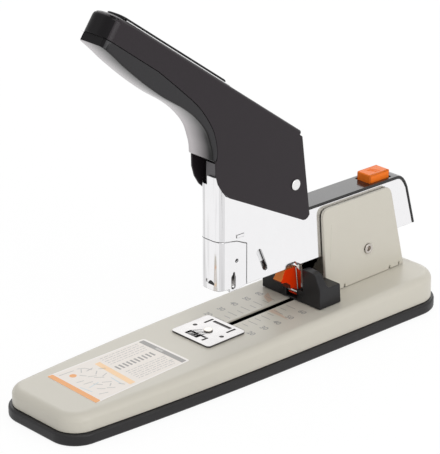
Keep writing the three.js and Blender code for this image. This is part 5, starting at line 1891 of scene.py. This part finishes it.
@dataclass
class LeverHandle:
    """The black handle: folded steel shell, moulded grip, palm pad and the arm inside.

    Its sizes are in the handle's own frame, with u along it to the rear and v up, from its hinge.
    """

    shell_edge: EdgeRound = EdgeRound(0.3, 2, 40)
    grip_edge: EdgeRound = EdgeRound(0.25, 2, 40)
    pad_edge: EdgeRound = EdgeRound(0.45, 4, 30)
    top_round: float = 3.4 * MM
    heel_round: float = 1.6 * MM
    plan_round: float = 8 * MM
    plan_steps: int = 12
    round_steps: int = 8
    nose_reach: float = 2 * MM
    heel_run: float = 9 * MM
    heel_fall: float = 4 * MM
    spare: float = 20 * MM
    tip_end: float = -170 * MM
    tip_front: float = -0.45
    belly_slope: float = 0.08
    belly_front: float = -0.05
    pad_start: float = -171 * MM
    pad_half: float = 7.2 * MM
    pad_round: float = 0.8
    pad_steps: int = 10
    pad_top: float = 29.7 * MM
    edge_start: float = -168 * MM
    edge_end: float = -80 * MM
    edge_half: float = 8.9 * MM
    edge_height: float = 27.9 * MM
    edge_radius: float = 0.3 * MM

    def place(self) -> Matrix:
        """Finds the handle's own frame from its hinge.

        Returns:
            The frame.
        """
        hinge = next(joint for joint in frame["joints"] if joint["name"] == "handle_hinge")
        lift = -math.radians(min(hinge["range_deg"]))
        return Matrix.Translation(hinge["pos_m"]) @ Matrix.Rotation(lift, 4, "Y")

    def tip_keep(self) -> list:
        """Two wide bodies with round nose ends, one seen from the side and one from above.

        Returns:
            The meshes to keep what lies inside.
        """
        place = self.place()
        back = place.inverted()
        nodes = [frame["nodes"][name].data for name in ("handle_shell", "handle_grip")]
        points = [back @ v.co for mesh in nodes for v in mesh.vertices]
        tip = min(p.x for p in points)
        nose = [p.z for p in points if p.x < tip + self.nose_reach]
        top, low = max(nose), min(nose)
        below, beyond = low - self.spare * 3, self.spare * 5
        crown, heel, steps = self.top_round, self.heel_round, self.round_steps
        high_arc = quarter_arc(tip + crown, top - crown, crown, QUARTER, steps)
        low_arc = quarter_arc(tip + heel, low + heel, heel, 2 * QUARTER, steps)
        belly = [(tip + self.heel_run, low - self.heel_fall), (tip + self.spare, below)]
        outline = [(self.spare, top), *high_arc, *low_arc, *belly, (beyond, below), (beyond, top)]
        half = max(abs(p.y) for p in points if p.x < tip + 2 * self.plan_round)
        levels = [(0.0, below)]
        for step in range(steps + 1):
            angle = math.radians(QUARTER * step / steps)
            levels.append((crown * (1 - math.cos(angle)), top - crown * (1 - math.sin(angle))))
        rings = []
        for inset, height in levels:
            front = [(tip + inset, half - inset), (tip + inset, inset - half)]
            corners = [*front, (beyond, -self.spare), (beyond, self.spare)]
            plan = soft_corners(corners, self.plan_round - inset / 2, self.plan_steps)
            rings.append([place @ Vector((x, y, height)) for x, y in plan])
        return [prism("tip", outline, -self.spare, self.spare, place @ UPRIGHT), lofted("plan", rings)]

    def on_tip(self, centre: Vector, normal: Vector) -> bool:
        """Says whether a face lies on the round nose end, which is painted darker as shade."""
        along = (self.place().inverted() @ centre).x
        return along < self.tip_end and normal.x < self.tip_front and normal.z > 0

    def on_belly(self, _centre: Vector, normal: Vector) -> bool:
        """Says whether a face is on the grip's underside, which gets the painted reflection."""
        under = normal.z < self.belly_slope and abs(normal.y) < -normal.z - normal.x
        return under and normal.x < self.belly_front

    def highlight_line(self) -> Piece:
        """A bright metal line along the folded edge of the shell: a painted highlight.

        Returns:
            The piece.
        """
        ends = (self.edge_start, self.edge_end)
        line = [self.place() @ Vector((u, -self.edge_half, self.edge_height)) for u in ends]
        return Piece("handle_painted_highlight_line", tube("edge", line, self.edge_radius)).placed("handle", PAINTED_HIGHLIGHT_STEEL)

    def pad(self) -> Piece:
        """The palm pad, with a round front end.

        Returns:
            The piece.
        """
        half, rear = self.pad_half, self.spare * 3
        corners = [(self.pad_start, half), (self.pad_start, -half), (rear, -half), (rear, half)]
        outline = soft_corners(corners, half * self.pad_round, self.pad_steps)
        keep = prism("pad", outline, -self.spare, self.pad_top, self.place())
        pad = Piece("palm_pad", copied_mesh("handle_pad")).carved([keep], "INTERSECT")
        return pad.rounded(self.pad_edge).placed("handle", PAD_BLACK, stands_for=["handle_pad"])

    def build(self) -> None:
        """Builds the handle."""
        shell = Piece("handle_steel", copied_mesh("handle_shell")).carved(self.tip_keep(), "INTERSECT")
        shell.rounded(self.shell_edge)
        shell.placed("handle", BLACK_STEEL, TIP_PAINTED_SHADE_BLACK, stands_for=["handle_shell"])
        shell.painted(1, self.on_tip)
        grip = Piece("handle_moulding", copied_mesh("handle_grip")).carved(self.tip_keep(), "INTERSECT")
        grip.rounded(self.grip_edge)
        grip.placed("handle", GRIP_BLACK, GRIP_PAINTED_SHEEN, TIP_PAINTED_SHADE_BLACK, stands_for=["handle_grip"])
        grip.painted(2, self.on_tip).painted(1, self.on_belly)
        self.highlight_line()
        self.pad()
        copied("handle_arm", "press_arm", BLOCK_EDGE, "handle", DARK_STEEL)
        copied("driver_pin", "press_pin", PIN_EDGE, "handle", STEEL)


@dataclass
class Driver:
    """The block and the blade that drive the staple."""

    def build(self) -> None:
        """Builds the driver."""
        copied("driver_block", "driver_carrier", PLATE_EDGE, "driver", DARK_STEEL)
        copied("driver_blade", "driver_blade_plate", BLADE_EDGE, "driver", DARK_STEEL)


@dataclass(frozen=True)
class Lamp:
    """A square soft lamp: its place, the length of its sides and its power in watts."""

    name: str
    place: Place
    size: float
    power: float

    def build(self, target: Vector) -> None:
        """Hangs the lamp and points it.

        Args:
            target: What it points at.
        """
        data = bpy.data.lights.new(self.name, "AREA")
        data.shape = "SQUARE"
        data.size = self.size
        data.energy = self.power
        lamp = bpy.data.objects.new(self.name, data)
        lamp.location = self.place
        lamp.rotation_euler = (target - Vector(self.place)).to_track_quat("-Z", "Y").to_euler()
        bpy.context.scene.collection.objects.link(lamp)


@dataclass
class Studio:
    """The floor, the lamps, the world and the camera."""

    camera_place: Place = (-0.83147, -0.89229, 0.57442)
    camera_yaw: float = 47.30
    camera_pitch: float = -22.11
    camera_lens: float = 188.0
    camera_sensor: float = 36.0
    camera_near: float = 0.05
    camera_far: float = 20.0
    world_light: float = 0.62
    floor_half: float = 3.0
    floor_colour: Colour = (0.97, 0.97, 0.97)
    floor_white: float = 0.9
    floor_glow: float = 1.02
    lamp_target: Place = (0, 0, 0.08)
    lamps: Sequence[Lamp] = (
        Lamp("key_lamp", (-0.35, -0.8, 1.5), 0.9, 3.9),
        Lamp("side_lamp", (0.1, -1.75, 0.7), 1.0, 9.0),
        Lamp("back_lamp", (1.1, 1.2, 0.95), 1.6, 7.8),
    )

    def camera(self) -> None:
        """The camera at the photograph's angle."""
        data = bpy.data.cameras.new("camera")
        data.lens = self.camera_lens
        data.sensor_width = self.camera_sensor
        data.clip_start = self.camera_near
        data.clip_end = self.camera_far
        camera = bpy.data.objects.new("camera", data)
        camera.location = self.camera_place
        pitch, yaw = math.radians(QUARTER + self.camera_pitch), math.radians(self.camera_yaw - QUARTER)
        camera.rotation_euler = (pitch, 0, yaw)
        bpy.context.scene.collection.objects.link(camera)
        bpy.context.scene.camera = camera

    def seen(self, sheet: ShaderSheet) -> Socket:
        """Says whether a ray comes from the camera, a reflection or a clear material.

        Args:
            sheet: The sheet that asks.

        Returns:
            A socket with 1 for such a ray.
        """
        path = sheet.add("LightPath")
        mirrored = sheet.maths("MAXIMUM", path.outputs["Is Camera Ray"], path.outputs["Is Glossy Ray"])
        return sheet.maths("MAXIMUM", mirrored, path.outputs["Is Transmission Ray"])

    def choose(self, sheet: ShaderSheet, mask: Socket, unseen: bpy.types.Node, seen: bpy.types.Node,
               end: str) -> None:
        """Joins two shaders to the output, one for the rays that are seen and one for the rest.

        Args:
            sheet: The sheet that they are in.
            mask: How much of the seen one is taken.
            unseen: The shader for the other rays.
            seen: The shader for the rays that are seen.
            end: The output node's type.
        """
        choice = sheet.add("MixShader")
        output = sheet.add(end)
        for target, source in zip(choice.inputs, (mask, unseen.outputs[0], seen.outputs[0])):
            sheet.join(source, target)
        sheet.join(choice.outputs[0], output.inputs["Surface"])

    def world(self) -> None:
        """A soft white room."""
        world = bpy.data.worlds.new("studio")
        bpy.context.scene.world = world
        world.use_nodes = True
        sheet = ShaderSheet(world.node_tree)
        world.node_tree.nodes.clear()
        light, back = sheet.add("Background"), sheet.add("Background")
        for node, strength in ((light, self.world_light), (back, 1.0)):
            node.inputs["Color"].default_value = (1, 1, 1, 1)
            node.inputs["Strength"].default_value = strength
        self.choose(sheet, self.seen(sheet), light, back, "OutputWorld")

    def floor(self) -> None:
        """A wide white table that keeps a soft shadow."""
        half = self.floor_half
        corners = [Vector((x, y, 0)) for x, y in ((-half, -half), (half, -half), (half, half), (-half, half))]
        mesh = clean_mesh("floor", corners, [(0, 1, 2, 3)])
        floor = bpy.data.objects.new("studio_floor", mesh)
        bpy.context.scene.collection.objects.link(floor)
        material = bpy.data.materials.new("studio_white")
        material.use_nodes = True
        sheet = ShaderSheet(material.node_tree)
        material.node_tree.nodes.clear()
        matt = sheet.add("BsdfDiffuse")
        matt.inputs["Color"].default_value = rgb(self.floor_colour)
        glow = sheet.add("Emission")
        glow.inputs["Color"].default_value = (1, 1, 1, 1)
        glow.inputs["Strength"].default_value = self.floor_glow
        mask = sheet.maths("MULTIPLY", self.seen(sheet), self.floor_white)
        self.choose(sheet, mask, matt, glow, "OutputMaterial")
        mesh.materials.append(material)

    def build(self) -> None:
        """Builds the studio."""
        self.camera()
        self.world()
        self.floor()
        for lamp in self.lamps:
            lamp.build(Vector(self.lamp_target))
        bpy.context.scene.view_settings.view_transform = "Standard"


def main() -> None:
    """Builds every part in order and reports each piece."""
    logging.basicConfig(level=logging.INFO, format="%(name)s: %(message)s")
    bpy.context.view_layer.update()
    parts = [
        Studio(), Base(), NoseLabel(), DepthScale(), Anvil(), DepthGuide(),
        ChromeHead(), Magazine(), ReleaseButton(), LeverHandle(), Driver(),
    ]
    for part in parts:
        count = len(Piece.made)
        part.build()
        LOG.info("%s: %s", type(part).__name__, ", ".join(Piece.made[count:]) or "no piece")


if __name__ == "__main__":
    main()
